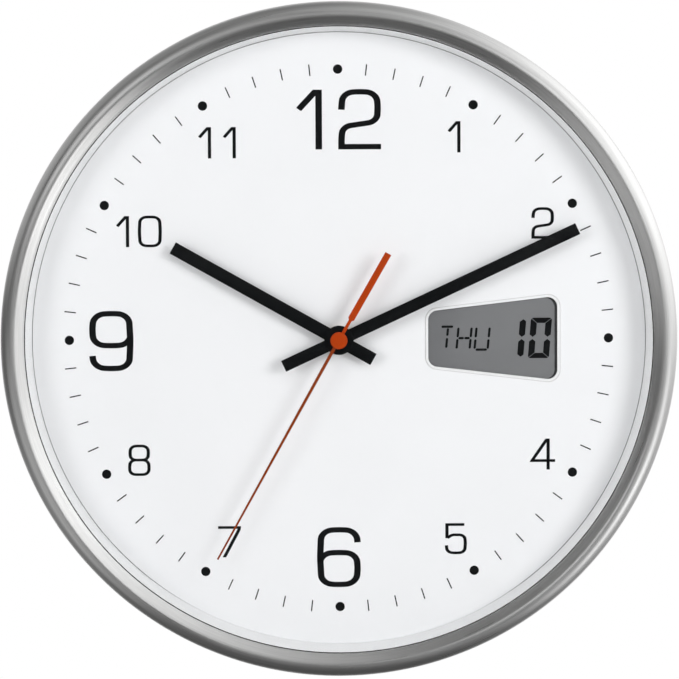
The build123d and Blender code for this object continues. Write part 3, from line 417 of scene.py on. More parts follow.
# Finishes: sizes of grain and patches and the grain's depth are in millimetres
plainLook = {"roughness": 0.5, "grain": 0.5, "patch": 14, "contrast": 0.1, "depth": 0.004,
             "shader": {"IOR": 1.46}}
enamel = {"roughness": 0.22, "grain": 0.6, "depth": 0.0004}
moulded = {
    "white_plastic": {"colour": (0.87, 0.875, 0.88), "roughness": 0.42, "patch": 30, "contrast": 0.03},
    "dial_white": {"colour": (0.885, 0.892, 0.905), "roughness": 0.62, "grain": 0.35, "patch": 60,
                   "contrast": 0.02, "depth": 0.003},
    "grey_plastic": {"colour": (0.42, 0.43, 0.43), "roughness": 0.55, "grain": 0.6, "patch": 25,
                     "contrast": 0.12, "depth": 0.012, "rubbed": 0.3, "dust": 0.15},
    "case_plastic": {"colour": (0.50, 0.51, 0.51), "roughness": 0.52, "grain": 0.55, "patch": 40,
                     "depth": 0.016, "rubbed": 0.35, "dust": 0.22},
    "black_plastic": {"colour": (0.024, 0.024, 0.026), "roughness": 0.48, "patch": 20, "contrast": 0.3,
                      "depth": 0.012, "rubbed": 0.25, "dust": 0.10},
    "cover_plastic": {"colour": (0.035, 0.036, 0.038), "roughness": 0.45, "patch": 18, "contrast": 0.25,
                      "depth": 0.012, "rubbed": 0.25, "dust": 0.12},
    "button_plastic": {"colour": (0.30, 0.31, 0.32), "roughness": 0.4, "grain": 0.4, "patch": 8,
                       "contrast": 0.12, "depth": 0.006, "rubbed": 0.15, "dust": 0.08},
    "movement_plastic": {"colour": (0.030, 0.031, 0.033), "grain": 0.45, "patch": 22, "contrast": 0.25,
                         "depth": 0.012, "rubbed": 0.25, "dust": 0.14},
    "natural_plastic": {"colour": (0.72, 0.70, 0.64), "roughness": 0.42, "grain": 0.4, "patch": 10,
                        "depth": 0.006,
                        "shader": {"Subsurface Weight": 0.15, "Subsurface Radius": (0.002,) * 3}},
    "knob_plastic": {"colour": (0.62, 0.63, 0.63), "roughness": 0.42, "grain": 0.4, "patch": 12,
                     "depth": 0.008, "rubbed": 0.2, "dust": 0.12},
    "rubber": {"colour": (0.030, 0.029, 0.028), "roughness": 0.75, "grain": 0.7, "patch": 15,
               "contrast": 0.3, "depth": 0.02, "dust": 0.2},
    "silicone": {"colour": (0.55, 0.56, 0.56), "grain": 0.4, "patch": 6, "depth": 0.006,
                 "shader": {"Subsurface Weight": 0.2, "Subsurface Radius": (0.002,) * 3}},
    "magnet": {"colour": (0.08, 0.08, 0.085), "grain": 0.3, "patch": 3, "contrast": 0.3, "depth": 0.006},
    "circuit_board": {"colour": (0.03, 0.16, 0.07), "roughness": 0.38, "patch": 6, "contrast": 0.3,
                      "depth": 0.01, "shader": {"Coat Weight": 0.3}},
    "chip_black": {"colour": (0.022, 0.022, 0.022), "roughness": 0.6, "grain": 0.3, "patch": 3,
                   "contrast": 0.3, "depth": 0.01},
    "polariser_film": {"colour": (0.195, 0.199, 0.204), "roughness": 0.34, "grain": 0.25, "patch": 40,
                       "depth": 0.0015},
    "reflector_film": {"colour": (0.38, 0.39, 0.39), "roughness": 0.35, "grain": 0.3, "patch": 15,
                       "contrast": 0.08, "depth": 0.003, "shader": {"Metallic": 0.6}},
    "black_paint": {"colour": (0.0055, 0.0060, 0.0065), "roughness": 0.55, "grain": 0.3, "contrast": 0.15,
                    "shader": {"Specular IOR Level": 0.05}},
    "orange_paint": {"colour": (0.45, 0.055, 0.008), "roughness": 0.45, "grain": 0.3,
                     "shader": {"Specular IOR Level": 0.2}},
    # painted shade: grey of the shadow line at the dial's edge
    "edge_shade_grey": {"colour": (0.17, 0.17, 0.17), "roughness": 0.6, "patch": 20},
    # painted shade: pale grey of the shade line round the display's window frame
    "frame_shade_pale": {"colour": (0.58, 0.58, 0.58), "roughness": 0.6, "patch": 20},
    "hand_black": {**enamel, "colour": (0.0045, 0.0052, 0.0058), "contrast": 0.3,
                   "shader": {"Specular IOR Level": 0.06}},
    "hand_orange": {**enamel, "colour": (0.44, 0.048, 0.004), "shader": {"Specular IOR Level": 0.08}},
    "rod_orange": {**enamel, "colour": (0.245, 0.040, 0.008), "shader": {"Specular IOR Level": 0.08}},
}
metals = {
    "steel": {"colour": (0.60, 0.60, 0.59), "tarnish": (0.45, 0.44, 0.42), "roughness": 0.3, "grain": 0.25,
              "patch": 3, "depth": 0.003},
    "stator_steel": {"colour": (0.52, 0.53, 0.54), "tarnish": (0.40, 0.40, 0.40), "roughness": 0.38,
                     "grain": 0.3, "patch": 5, "depth": 0.004},
    "copper_wire": {"colour": (0.76, 0.34, 0.17), "tarnish": (0.55, 0.20, 0.09), "roughness": 0.34,
                    "grain": 0.12, "patch": 2, "depth": 0.02},
    "brass": {"colour": (0.78, 0.58, 0.27), "tarnish": (0.55, 0.38, 0.16), "roughness": 0.27, "grain": 0.25,
              "patch": 3, "depth": 0.003},
}
# Two finishes change along the part: from where to where, and to what colour
polariserFade = {"from": 0.65, "to": 0.0, "colour": (0.80, 0.80, 0.81)}      # shares of the display's width
# painted shade: the dial-edge shadow line turns pale towards the bottom, where it is lit
edgeShadeFade = {"from": -112, "to": -130, "colour": (0.78, 0.79, 0.80)}         # heights from the hands' axis


def makeMaterials():
    made = {slot: mouldedFinish(slot, {**plainLook, **look}) for slot, look in moulded.items()}
    made.update({slot: metalFinish(slot, look) for slot, look in metals.items()})
    made["brushed_aluminium"] = makeBrushedAluminium()
    made["clear_glass"] = makeClearGlass("clearGlass", (0.993, 0.994, 0.995))
    made["display_glass"] = makeClearGlass("displayGlass", (0.93, 0.96, 0.95))
    # The display looks darker towards its left end; the painted shade line at the dial's edge turns pale at
    # the bottom, where light from above reaches the inner ring's foot.
    low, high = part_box("lcd_front_polariser")
    start, end = (low.x + polariserFade[key] * (high.x - low.x) for key in ("from", "to"))
    blendAlong(made["polariser_film"], 0, start, end, polariserFade["colour"], "MULTIPLY")
    blendAlong(made["edge_shade_grey"], 2, edgeShadeFade["from"] * mm, edgeShadeFade["to"] * mm, edgeShadeFade["colour"])
    made["cell_jacket"] = makeCellJacket("aa_cell")
    made["aaa_jacket"] = makeCellJacket("calendar_cell")
    return made


materials = makeMaterials()


def dressNodes():
    # Every CAD node that stays takes the finish of its slot.
    for name, node in nodes.items():
        material = materials["aaa_jacket" if name == "calendar_cell" else slotOf[name]]
        node.data.materials.clear()
        node.data.materials.append(material)


dressNodes()
print("materials:", len(materials))


# Rim: spun sheet with a swelling bead, a straight fall to the lip, and a rolled rear edge
rim = {
    "beadOuter": 6.2,       # from the crest out to the widest line
    "beadHeight": 8.6,
    "beadCentre": 8.4,      # above the dial
    "crestRound": 2.2,
    "lipReach": 9.4,        # from the side wall in to the edge over the glass
    "lipThickness": 0.6,
    "lipEdge": 0.26,
    "sideInset": 0.8,
    "sideRows": (6.0, 1.2),     # below the bead's rear end
    "sheet": 1.2,
    "rearEdge": 0.35,
    "glassCover": 0.4,      # the lip reaches this far past the glass's edge
    "glassGap": 0.04,
    "steps": 288,
}


def fallSlope(reach, fall, rounding):
    # Angle of a straight fall that starts with a rounding and ends at the given depth.
    low, high = 0.0, radians(60)
    for step in range(30):
        angle = (low + high) / 2
        depth = rounding * (1 - cos(angle)) + (reach - rounding * sin(angle)) * tan(angle)
        low, high = (angle, high) if depth < fall else (low, angle)
    return angle


def makeRim():
    low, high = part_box("rim")
    outer = high.x / mm
    rear = heightOf("rim", front=False)
    crest = rim["beadCentre"] + rim["beadHeight"]
    crestRadius = outer - rim["beadOuter"]
    glassTop = heightOf("glass")
    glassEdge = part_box("glass")[1].x / mm + rim["glassCover"]
    side = outer - rim["sideInset"]
    inside = side - rim["sheet"]
    lipRadius = inside - rim["lipReach"]
    lipTop = glassTop + rim["lipThickness"]
    lip, edge, crestRound = rim["lipEdge"], rim["rearEdge"], rim["crestRound"]
    slope = fallSlope(crestRadius - lipRadius, crest - lipTop, crestRound)
    bead = arcPoints((crestRadius, rim["beadCentre"]), (rim["beadOuter"], rim["beadHeight"]), -28, 90, 26)
    inner = arcPoints((crestRadius, crest - crestRound), (crestRound,) * 2, 90, 90 + degrees(slope), 8)
    fall = (inner[-1], (lipRadius + lip, lipTop + lip * tan(slope)))
    inner += [tuple(a + (b - a) * share for a, b in zip(*fall)) for share in (0.25, 0.5, 0.75)]
    lipCurve = arcPoints((lipRadius + lip, glassTop + lip + rim["glassGap"]), (lip, lip), 135, 270, 6)
    profile = [(inside, rear)] + arcPoints((side - edge, rear + edge), (edge, edge), -90, 0, 4)
    profile += [(side, bead[0][1] - below) for below in rim["sideRows"]]
    profile += bead[2:] + inner[1:] + lipCurve
    profile += [(glassEdge, glassTop + rim["glassGap"]), (inside, rim["beadCentre"])]
    makePiece("rimShell", spun(profile, rim["steps"]), "brushed_aluminium", ["rim"])


makeRim()


# White inner ring: a slope from the glass down to the dial, its foot slightly rounded
innerRing = {"topRadius": 148.9, "footRadius": 145.7, "wall": 1.0, "foot": 0.25, "topGap": 0.02, "steps": 240}


def makeInnerRing():
    top = heightOf("glass", front=False) - innerRing["topGap"]
    topRadius, footRadius = innerRing["topRadius"], innerRing["footRadius"]
    foot = innerRing["foot"]
    profile = [(topRadius + innerRing["wall"], 0), (footRadius + foot, 0)]
    profile += arcPoints((footRadius + foot, foot), (foot, foot), 250, 170, 4)
    profile += [(topRadius, top), (topRadius + innerRing["wall"], top)]
    makePiece("innerRing", spun(profile, innerRing["steps"]), "white_plastic", ["rehaut"])


makeInnerRing()

# Thin lines seen from the front, both painted shade: a black ring under the rim's lip stands for the shadow
# gap between lip and glass, and a grey ring at the dial's edge for the shadow line where the inner ring meets
# the dial
joints = {
    # painted shadow: a black ring for the shadow gap under the rim's lip
    "seal": {"inner": 148.15, "outer": 149.2, "rise": 0.035, "finish": "rubber", "slot": "rubber"},
    # painted shade: a grey ring for the shadow line at the dial's edge
    "edge": {"inner": 145.42, "outer": 145.72, "rise": 0.04, "finish": "edge_shade_grey", "slot": "grey_plastic"},
}


def makeJointLines():
    lows = {"seal": heightOf("glass"), "edge": 0.0}
    for name, line in joints.items():
        low, inner, outer = lows[name], line["inner"], line["outer"]
        profile = [(outer, low), (inner, low), (inner, low + line["rise"]), (outer, low + line["rise"])]
        makePiece(name + "Line", spun(profile, innerRing["steps"]), line["slot"], finish=line["finish"])


makeJointLines()
print("rim and ring made")


# Dial print: dots at the hours, ticks at the minutes, numbers
printing = {"rise": 0.03, "sink": 0.01}
marks = {"scale": 1.0038, "dotRadius": 2.22, "dotCircle": 127.5, "tickInner": 125.0, "tickOuter": 130.4,
         "tickWidth": 0.57}
ink = "black_paint"


def makeDots():
    bm = bmesh.new()
    reach, radius = marks["dotCircle"] * marks["scale"], marks["dotRadius"] * marks["scale"]
    for hour in range(12):
        angle = radians(30 * hour)
        at = Matrix.Translation((reach * sin(angle), reach * cos(angle), -printing["sink"]))
        bmesh.ops.create_circle(bm, cap_ends=True, segments=40, radius=radius, matrix=at)
    lift(bm, bmesh.ops.extrude_face_region(bm, geom=bm.faces[:]), printing["rise"] + printing["sink"])
    makePiece("hourDots", bm, ink)


def makeTicks():
    bm = bmesh.new()
    length = (marks["tickOuter"] - marks["tickInner"]) * marks["scale"]
    middle = (marks["tickOuter"] + marks["tickInner"]) / 2 * marks["scale"]
    height = printing["rise"] + printing["sink"]
    for minute in range(60):
        if minute % 5 == 0:
            continue
        turn = Matrix.Rotation(-radians(6 * minute), 4, "Z")
        place = Matrix.Translation((0, middle, height / 2 - printing["sink"]))
        size = Matrix.Diagonal((marks["tickWidth"], length, height, 1))
        bmesh.ops.create_cube(bm, size=1, matrix=turn @ place @ size)
    makePiece("minuteTicks", bm, ink)


makeDots()
makeTicks()

# Numbers: each digit is one or two strokes in a box of its own, 0 to 1 across and up.
# A point is (across, up, corner), where corner is the length of the rounding in shares of the width.
digits = {
    "0": [([(0, .5, .2), (.035, .015, .29), (.5, 0, .12), (.965, .015, .29),
            (1, .5, .2), (.965, .985, .29), (.5, 1, .12), (.035, .985, .29)], True)],
    "1": [([(1, -.1, 0), (1, 1.084, 0), (-.069, .687, 0)], False)],
    "2": [([(0, .673, 0), (.04, .985, .28), (.5, 1, .12), (.96, .985, .28), (1, .74, .1), (.98, .455, .24),
            (.03, .365, .22), (0, .12, .1), (0, 0, 0), (1.1, 0, 0)], False)],
    "4": [([(.757, -.1, 0), (.757, 1.09, 0), (.03, .27, 0), (1.1, .27, 0)], False)],
    "5": [([(.95, 1, 0), (.03, 1, 0), (.03, .52, 0)], False),
          ([(.05, .53, 0), (.30, .64, .12), (.97, .635, .28), (1, .33, .1), (.965, .015, .28), (.5, 0, .12),
            (.035, .015, .28), (0, .27, 0)], False)],
    "6": [([(1, .768, 0), (.965, .985, .28), (.5, 1, .12), (.035, .985, .29), (0, .5, .2), (.035, .015, .29),
            (.5, 0, .12), (.965, .015, .29), (1, .3, .1), (.97, .57, .28), (.5, .585, .12), (.04, .57, .26),
            (0, .42, 0)], False)],
    "7": [([(-.1, 1, 0), (1, 1, 0), (.99, .93, .05), (.19, -.1, 0)], False)],
    "8": [([(0, .25, .1), (.03, .01, .27), (.5, 0, .12), (.97, .01, .27), (1, .25, .1), (.96, .505, .27),
            (.5, .51, .12), (.04, .505, .27)], True),
          ([(.06, .515, .25), (.5, .51, .12), (.94, .515, .25), (.97, .76, .1), (.94, .99, .27),
            (.5, 1, .12), (.06, .99, .27), (.03, .76, .1)], True)],
    "9": [([(0, .232, 0), (.035, .015, .28), (.5, 0, .12), (.965, .015, .29), (1, .5, .2), (.965, .985, .29),
            (.5, 1, .12), (.035, .985, .29), (0, .7, .1), (.03, .43, .28), (.5, .415, .12), (.96, .43, .26),
            (1, .58, 0)], False)],
}
# Boxes are (left, right, low, high) of each digit on the dial, by number
bigStroke = {"across": 3.1, "up": 2.56}
smallStroke = {"across": 1.56, "up": 1.30}
numbers = {
    "12": (bigStroke, [("1", (-19.45, -7.50, 89.70, 117.85)), ("2", (0.10, 20.35, 89.65, 118.10))]),
    "1": (smallStroke, [("1", (51.75, 57.75, 88.00, 102.75))]),
    "2": (smallStroke, [("2", (91.10, 101.80, 47.10, 62.00))]),
    "4": (smallStroke, [("4", (90.20, 102.25, -62.50, -47.75))]),
    "5": (smallStroke, [("5", (49.80, 60.35, -102.75, -87.90))]),
    "6": (bigStroke, [("6", (-10.95, 9.95, -118.25, -89.45))]),
    "7": (smallStroke, [("7", (-57.80, -46.90, -103.70, -88.80))]),
    "8": (smallStroke, [("8", (-100.30, -89.50, -64.70, -49.70))]),
    "9": (bigStroke, [("9", (-118.15, -97.10, -14.80, 13.90))]),
    "10": (smallStroke, [("1", (-104.90, -98.80, 44.00, 58.70)), ("0", (-94.75, -83.30, 43.85, 58.90))]),
    "11": (smallStroke, [("1", (-65.85, -59.80, 85.70, 100.45)), ("1", (-54.20, -48.15, 85.70, 100.45))]),
}


def drawStroke(points, closed, box, stroke, rise):
    # Drawn squeezed in x, so that the stretch afterwards makes upright strokes wider than level ones.
    left, right, low, high = box
    stretch = stroke["across"] / stroke["up"]
    half = stroke["up"] / 2
    width = (right - left) / stretch - stroke["up"]
    height = high - low - stroke["up"]
    start = left / stretch + half
    bm = bmesh.new()
    places = [(start + u * width, low + half + v * height, -printing["sink"]) for u, v, corner in points]
    verts, edges = drawLine(bm, places, closed)
    lift(bm, bmesh.ops.extrude_edge_only(bm, edges=edges), rise + printing["sink"])
    for (u, v, corner), vert in zip(points, verts):
        if corner:
            upright = [e for e in vert.link_edges if abs(e.verts[0].co.z - e.verts[1].co.z) > 1e-6]
            bevelEdges(bm, upright, corner * width, segments=9)
    bm = modified(bm, "SOLIDIFY", thickness=stroke["up"], offset=0, use_even_offset=True, thickness_clamp=0)
    bmesh.ops.scale(bm, vec=(stretch, 1, 1), verts=bm.verts)
    for point, normal in (((left, 0, 0), (-1, 0, 0)), ((right, 0, 0), (1, 0, 0)),
                          ((0, low, 0), (0, -1, 0)), ((0, high, 0), (0, 1, 0))):
        cut = bmesh.ops.bisect_plane(bm, geom=bm.verts[:] + bm.edges[:] + bm.faces[:], dist=1e-5,
                                     plane_co=point, plane_no=normal, clear_outer=True)["geom_cut"]
        rims = [item for item in cut if isinstance(item, bmesh.types.BMEdge) and item.is_boundary]
        if rims:
            bmesh.ops.edgeloop_fill(bm, edges=rims)
    return bm


def makeNumbers():
    # A digit's second stroke is a little lower than its first, so that their tops don't share a plane.
    for number, (stroke, parts) in numbers.items():
        whole = bmesh.new()
        for digit, box in parts:
            for order, (points, closed) in enumerate(digits[digit]):
                rise = printing["rise"] * (1 - 0.1 * order)
                join(whole, toMesh(drawStroke(points, closed, box, stroke, rise), "stroke"))
        bmesh.ops.scale(whole, vec=(marks["scale"], marks["scale"], 1), verts=whole.verts)
        makePiece("number" + number, whole, ink)


makeNumbers()
print("dial printed")


# Figures of the liquid crystal display: weekday in thin bars, date in wide mitred segments
display = {"rise": 0.02, "gap": 0.14, "letterBar": 1.12, "letterSlant": 5.5,
           "dateBar": 3.0, "dateLevel": 2.5, "dateSlant": 4.6, "dateWidth": 10.0, "dateHalf": 9.6,
           "dateMiddle": 0.05, "corner": 1.2}
weekday = {
    "T": (51.25, 0.7, [(-3.2, 4.85, 2.4, 4.85), (0, 4.2, 0, 0.5), (0, -0.5, 0, -5.2)]),
    "H": (59.25, 0.1, [(-3.1, 5.0, -3.1, 0.4), (-3.1, -0.4, -3.1, -5.0), (3.1, 5.0, 3.1, 0.4),
                       (3.1, -0.4, 3.1, -5.0), (-2.7, 0, -0.1, 0), (0.1, 0, 2.7, 0)]),
    "U": (67.75, -0.2, [(-3.1, 5.3, -3.1, 0.6), (-3.1, -0.3, -3.1, -4.8), (3.1, 5.3, 3.1, 0.6),
                        (3.1, -0.3, 3.1, -4.8), (-2.6, -5.2, 2.8, -5.2)]),
}
segments = {"0": "abcdef", "1": "bc"}
date = [("1", 78.0), ("0", 90.15)]


def displayFigure(bm, corners):
    # One dark segment from a few corners.
    face = bm.faces.new([bm.verts.new((x, y, 0)) for x, y in corners])
    lift(bm, bmesh.ops.extrude_face_region(bm, geom=[face]), display["rise"])


def letterBar(bm, x1, y1, x2, y2):
    length = hypot(x2 - x1, y2 - y1)
    half = display["letterBar"] / 2
    tip = half * 0.7
    angle = atan2(y2 - y1, x2 - x1)
    shape = [(0, half - tip), (tip, half), (length - tip, half), (length, half - tip), (length, tip - half),
             (length - tip, -half), (tip, -half), (0, tip - half)]
    turn = Matrix.Rotation(angle, 2)
    displayFigure(bm, [tuple(Vector((x1, y1)) + turn @ Vector(point)) for point in shape])


def dateSegment(bm, name, alone):
    # a top, b upper right, c lower right, d bottom, e lower left, f upper left, before the slant.
    # A figure of uprights alone has them pointed at both ends.
    bar, level, gap = display["dateBar"], display["dateLevel"], display["gap"]
    half, width, corner = display["dateHalf"], display["dateWidth"], display["corner"]
    ends = [(bar, 1.75), (bar * 0.5, 0.5), (0, 1.6)]
    if name in "ad":
        left = [(bar + gap, half - level), (corner * 0.3 + gap, half - corner * 0.3),
                (corner * 0.6, half - 0.09), (corner, half)]
        shape = left + [(width - x, y) for x, y in reversed(left)]
    elif alone:
        shape = [(0, half - 1.7), (bar * 0.45, half - 0.7), (bar, half - 1.9)] + ends
    else:
        shape = [(0, half - corner), (0.09, half - corner * 0.6), (corner * 0.3, half - corner * 0.3 - gap),
                 (bar, half - level - gap)] + ends
    if name in "bc":
        shape = [(width - x, y) for x, y in shape]
    if name in "dce":
        shape = [(x, -y) for x, y in shape]
    displayFigure(bm, shape)


def placeFigure(name, bm, lean, dx, dy):
    # Leans a figure to the right, puts it in its place in the window and makes it a piece.
    slope = tan(radians(lean))
    leaning = Matrix(((1, slope, 0, dx), (0, 1, 0, dy), (0, 0, 1, 0), (0, 0, 0, 1)))
    grown = Matrix.Diagonal((marks["scale"], marks["scale"], 1, 1))
    bmesh.ops.transform(bm, matrix=grown @ leaning, verts=bm.verts)
    bmesh.ops.translate(bm, vec=(0, 0, heightOf("lcd_front_polariser")), verts=bm.verts)
    makePiece(name, bm, ink)


def makeDisplay():
    for name, (middle, up, bars) in weekday.items():
        bm = bmesh.new()
        for bar in bars:
            letterBar(bm, *bar)
        placeFigure("displayLetter" + name, bm, display["letterSlant"], middle, up)
    for figure, left in date:
        bm = bmesh.new()
        for name in segments[figure]:
            dateSegment(bm, name, alone=figure == "1")
        placeFigure("displayDate" + figure, bm, display["dateSlant"], left, display["dateMiddle"])


makeDisplay()

# Window: painted shade round its frame as a pale grey ring, and painted shadow as a dark strip inside its
# right and upper edges, where the recess's walls are in shade
windowLines = {"joint": 0.24, "frameShadeRise": 0.05, "innerShadeRight": 1.3, "innerShadeTop": 0.4, "innerShadeRise": 0.04,
               "innerShadeLift": 0.03}


def stretchedFrame(name, slot, finish, centre, place, scale):
    # A copy of the window's frame, scaled from one point and moved with it to another.
    bm = bmesh.new()
    bm.from_mesh(nodes["window_frame"].data)
    scaled = Matrix.Diagonal((*scale, 1)) @ Matrix.Translation(-Vector(centre))
    bmesh.ops.transform(bm, matrix=Matrix.Translation(place) @ scaled, verts=bm.verts)
    makePiece(name, bm, slot, finish=finish, upright=False)


def makeWindowLines():
    low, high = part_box("window_frame")
    middle = (low + high) / 2
    wide, deep, tall = high - low
    size = {key: value * mm for key, value in windowLines.items()}
    around, rise = 2 * size["joint"], size["frameShadeRise"]
    # painted shade: a flat pale ring just outside the frame
    stretchedFrame("windowJoint", "white_plastic", "frame_shade_pale", middle,
                   (middle.x, dialFace - rise / 2, middle.z),
                   ((wide + around) / wide, rise / deep, (tall + around) / tall))
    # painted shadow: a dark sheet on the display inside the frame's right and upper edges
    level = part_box("lcd_front_polariser")[0].y - size["innerShadeLift"]
    right, top, rise = size["innerShadeRight"], size["innerShadeTop"], size["innerShadeRise"]
    stretchedFrame("windowInnerShade", "black_plastic", None, (low.x, middle.y, low.z), (low.x, level, low.z),
                   ((wide - right) / wide, rise / deep, (tall - top) / tall))


makeWindowLines()
print("display drawn")


# Hub cover and seconds cap: turned buttons with a bevelled edge
hub = {"cover": 0.25, "cap": 0.55, "steps": 96}


def turnedButton(name, node, bevel, slot, finish):
    low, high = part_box(node)
    radius = (high.x - low.x) / 2 / mm
    bottom, top = heightOf(node, front=False), heightOf(node)
    profile = [(0, bottom), (radius, bottom), (radius, top - bevel)]
    profile += arcPoints((radius - bevel, top - bevel), (bevel, bevel), 15, 75, 3)
    profile += [(radius - bevel, top), (0, top)]
    makePiece(name, spun(profile, hub["steps"], closed=False), slot, [node], finish)


turnedButton("hubDisc", "hub_cover", hub["cover"], "black_paint", "hand_black")
turnedButton("secondsButton", "seconds_cap", hub["cap"], "orange_paint", "hand_orange")

# Hour and minute hands: the CAD bars, a little wider and moved sideways by the printed hand's own play
straightHands = {
    "hour_hand": {"angle": 299.4, "widen": 1.053, "sideways": -0.18, "tip": 0, "tail": 0.15, "edge": 0.06},
    "minute_hand": {"angle": 65.1, "widen": 1.054, "sideways": 0.12, "tip": -0.5, "tail": 0.17, "edge": 0.06},
}
tipBeyond = 60          # along a hand from the axis
tailBelow = -12


def alongAndAcross(angle):
    # Directions along a hand and to its clockwise side, looking at the dial, x right and y up.
    turn = radians(angle)
    return Vector((sin(turn), cos(turn), 0)), Vector((cos(turn), -sin(turn), 0))


def makeStraightHands():
    for node, hand in straightHands.items():
        bm = softEdged(node, hand["edge"])
        along, across = (Vector((v.x, 0, v.y)) for v in alongAndAcross(hand["angle"]))
        for vert in bm.verts:
            reach = vert.co.dot(along) / mm
            sideways = vert.co.dot(across) * (hand["widen"] - 1) + hand["sideways"] * mm
            further = hand["tip"] if reach > tipBeyond else -hand["tail"] if reach < tailBelow else 0
            vert.co += across * sideways + along * further * mm
        makePiece(camel(node), bm, "black_paint", [node], "hand_black", upright=False)


# Seconds hand: a long tapering rod and a flat bar beyond the hub
secondsHand = {
    "rodAngle": 209.09, "rodShift": 0.16, "rodLength": 119.1, "rodBase": 1.6, "rodTip": 0.85,
    "barAngle": 29.85, "neckWidth": 1.5, "barStart": 10.9, "shoulder": 0.8, "barWidth": 3.15, "barEnd": 47.3,
    "thickness": 0.5, "bossRadius": 1.5, "bossSteps": 48, "edge": 0.07,
}


def makeSecondsHand():
    # Its rod takes the piece's second material.
    hand = secondsHand
    bottom, top = heightOf("seconds_hand", front=False), heightOf("seconds_hand")
    low = top - hand["thickness"]
    base, tip, length = hand["rodBase"] / 2, hand["rodTip"] / 2, hand["rodLength"]
    rod = [(-base, 0), (-tip, length), (tip, length), (base, 0)]
    neck, bar, start = hand["neckWidth"] / 2, hand["barWidth"] / 2, hand["barStart"]
    half = [(neck, 0), (neck, start), (bar, start + hand["shoulder"]), (bar, hand["barEnd"])]
    counterweight = half + [(-x, y) for x, y in reversed(half)]
    whole = bmesh.new()
    for material, outline, angle, shift in ((1, rod, hand["rodAngle"], hand["rodShift"]),
                                            (0, counterweight, hand["barAngle"], 0)):
        along, across = alongAndAcross(angle)
        bm = bmesh.new()
        corners = [bm.verts.new(along * y + across * (x + shift) + Vector((0, 0, low))) for x, y in outline]
        lift(bm, bmesh.ops.extrude_face_region(bm, geom=[bm.faces.new(corners)]), hand["thickness"])
        bevelEdges(bm, [edge for edge in bm.edges if all(vert.co.z > low + 0.1 for vert in edge.verts)],
                   hand["edge"])
        for face in bm.faces:
            face.material_index = material
        join(whole, toMesh(bm, "hand"))
    boss = [(0, bottom), (hand["bossRadius"], bottom), (hand["bossRadius"], top), (0, top)]
    join(whole, toMesh(spun(boss, hand["bossSteps"], closed=False), "boss"))
    piece = makePiece("secondsHand", whole, "orange_paint", ["seconds_hand"], "hand_orange")
    piece.data.materials.append(materials["rod_orange"])


# CAD nodes whose edges are rounded a little
roundedNodes = {
    "window_frame": 0.18, "setting_knob": 0.2,
    "calendar_cover": 0.15, "calendar_housing": 0.2, "movement_rear": 0.15, "set_button": 0.2,
    "adjust_button": 0.2, "hex_nut": 0.12, "back_case": 0.3,
}


def camel(name):
    first, *rest = name.split("_")
    return first + "".join(word.capitalize() for word in rest)


def roundNodes():
    for node, width in roundedNodes.items():
        makePiece(camel(node), softEdged(node, width), slotOf[node], [node], upright=False)


roundNodes()
makeStraightHands()
makeSecondsHand()
print("hands made, covers rounded")


# Screws of the rim and the calendar module: domed heads with a crossed recess
rimScrew = {"headRadius": 2.5, "rise": 0.72, "shankRadius": 1.4, "shank": 4.0, "slotLength": 2.7,
            "slotWidth": 0.55, "slotDepth": 0.5, "angles": (0, 120, 240), "steps": 32}
moduleScrew = {"headRadius": 2.75, "rise": 1.5, "shankRadius": 1.4, "shank": 6.0, "slotLength": 3.2,
               "slotWidth": 0.7, "slotDepth": 0.9, "steps": 32}


def cutAway(bm, cutter):
    # The first shape with the second one removed from it.
    tool = addObject("tool", toMesh(cutter, "tool"))
    cut = modified(bm, "BOOLEAN", object=tool, operation="DIFFERENCE", solver="EXACT")
    bpy.data.meshes.remove(tool.data)
    return cut


def screwShape(screw):
    # Screw standing on z = 0 under its head, the head's dome towards +z.
    head, rise, shank = screw["headRadius"], screw["rise"], screw["shankRadius"]
    profile = [(0, -screw["shank"]), (shank, -screw["shank"]), (shank, 0), (head, 0)]
    profile += arcPoints((0, 0), (head, rise), 12, 84, 7)
    profile += [(0, rise)]
    body = spun(profile, screw["steps"], closed=False)
    bmesh.ops.recalc_face_normals(body, faces=body.faces)
    for turn in (0, 90):
        blade = bmesh.new()
        place = Matrix.Rotation(radians(turn), 4, "Z") @ Matrix.Translation((0, 0, rise))
        size = Matrix.Diagonal((screw["slotLength"], screw["slotWidth"], 2 * screw["slotDepth"], 1))
        bmesh.ops.create_cube(blade, size=1, matrix=place @ size)
        body = cutAway(body, blade)
    return body


def placeScrews(name, node, screw, places):
    whole = bmesh.new()
    for place in places:
        shape = screwShape(screw)
        bmesh.ops.transform(shape, matrix=place, verts=shape.verts)
        join(whole, toMesh(shape, "screw"))
    makePiece(name, whole, "steel", [node])


def makeScrews():
    low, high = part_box("rim_screws")
    level = (dialFace - (low.y + high.y) / 2) / mm
    side = high.z / mm
    rimPlaces = [
        Matrix.Rotation(radians(angle), 4, "Z") @ Matrix.Translation((0, side, level))
        @ Matrix.Rotation(radians(-90), 4, "X") for angle in rimScrew["angles"]
    ]
    placeScrews("rimScrews", "rim_screws", rimScrew, rimPlaces)
    low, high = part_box("module_screws")
    middle = (low.x + high.x) / 2 / mm
    reach = high.z / mm - moduleScrew["headRadius"]
    seat = heightOf("module_screws", front=False) + moduleScrew["rise"]
    modulePlaces = [
        Matrix.Translation((middle, sign * reach, seat)) @ Matrix.Rotation(radians(180), 4, "X")
        for sign in (-1, 1)
    ]
    placeScrews("moduleScrews", "module_screws", moduleScrew, modulePlaces)


makeScrews()
print("screws made")


# Camera: straight in front, a little above, with a long lens
view = {"raised": 4.4, "distance": 2.03, "lens": 226.6, "sensor": 36, "right": 0.285, "down": 0.25,
        "roll": 0.27}


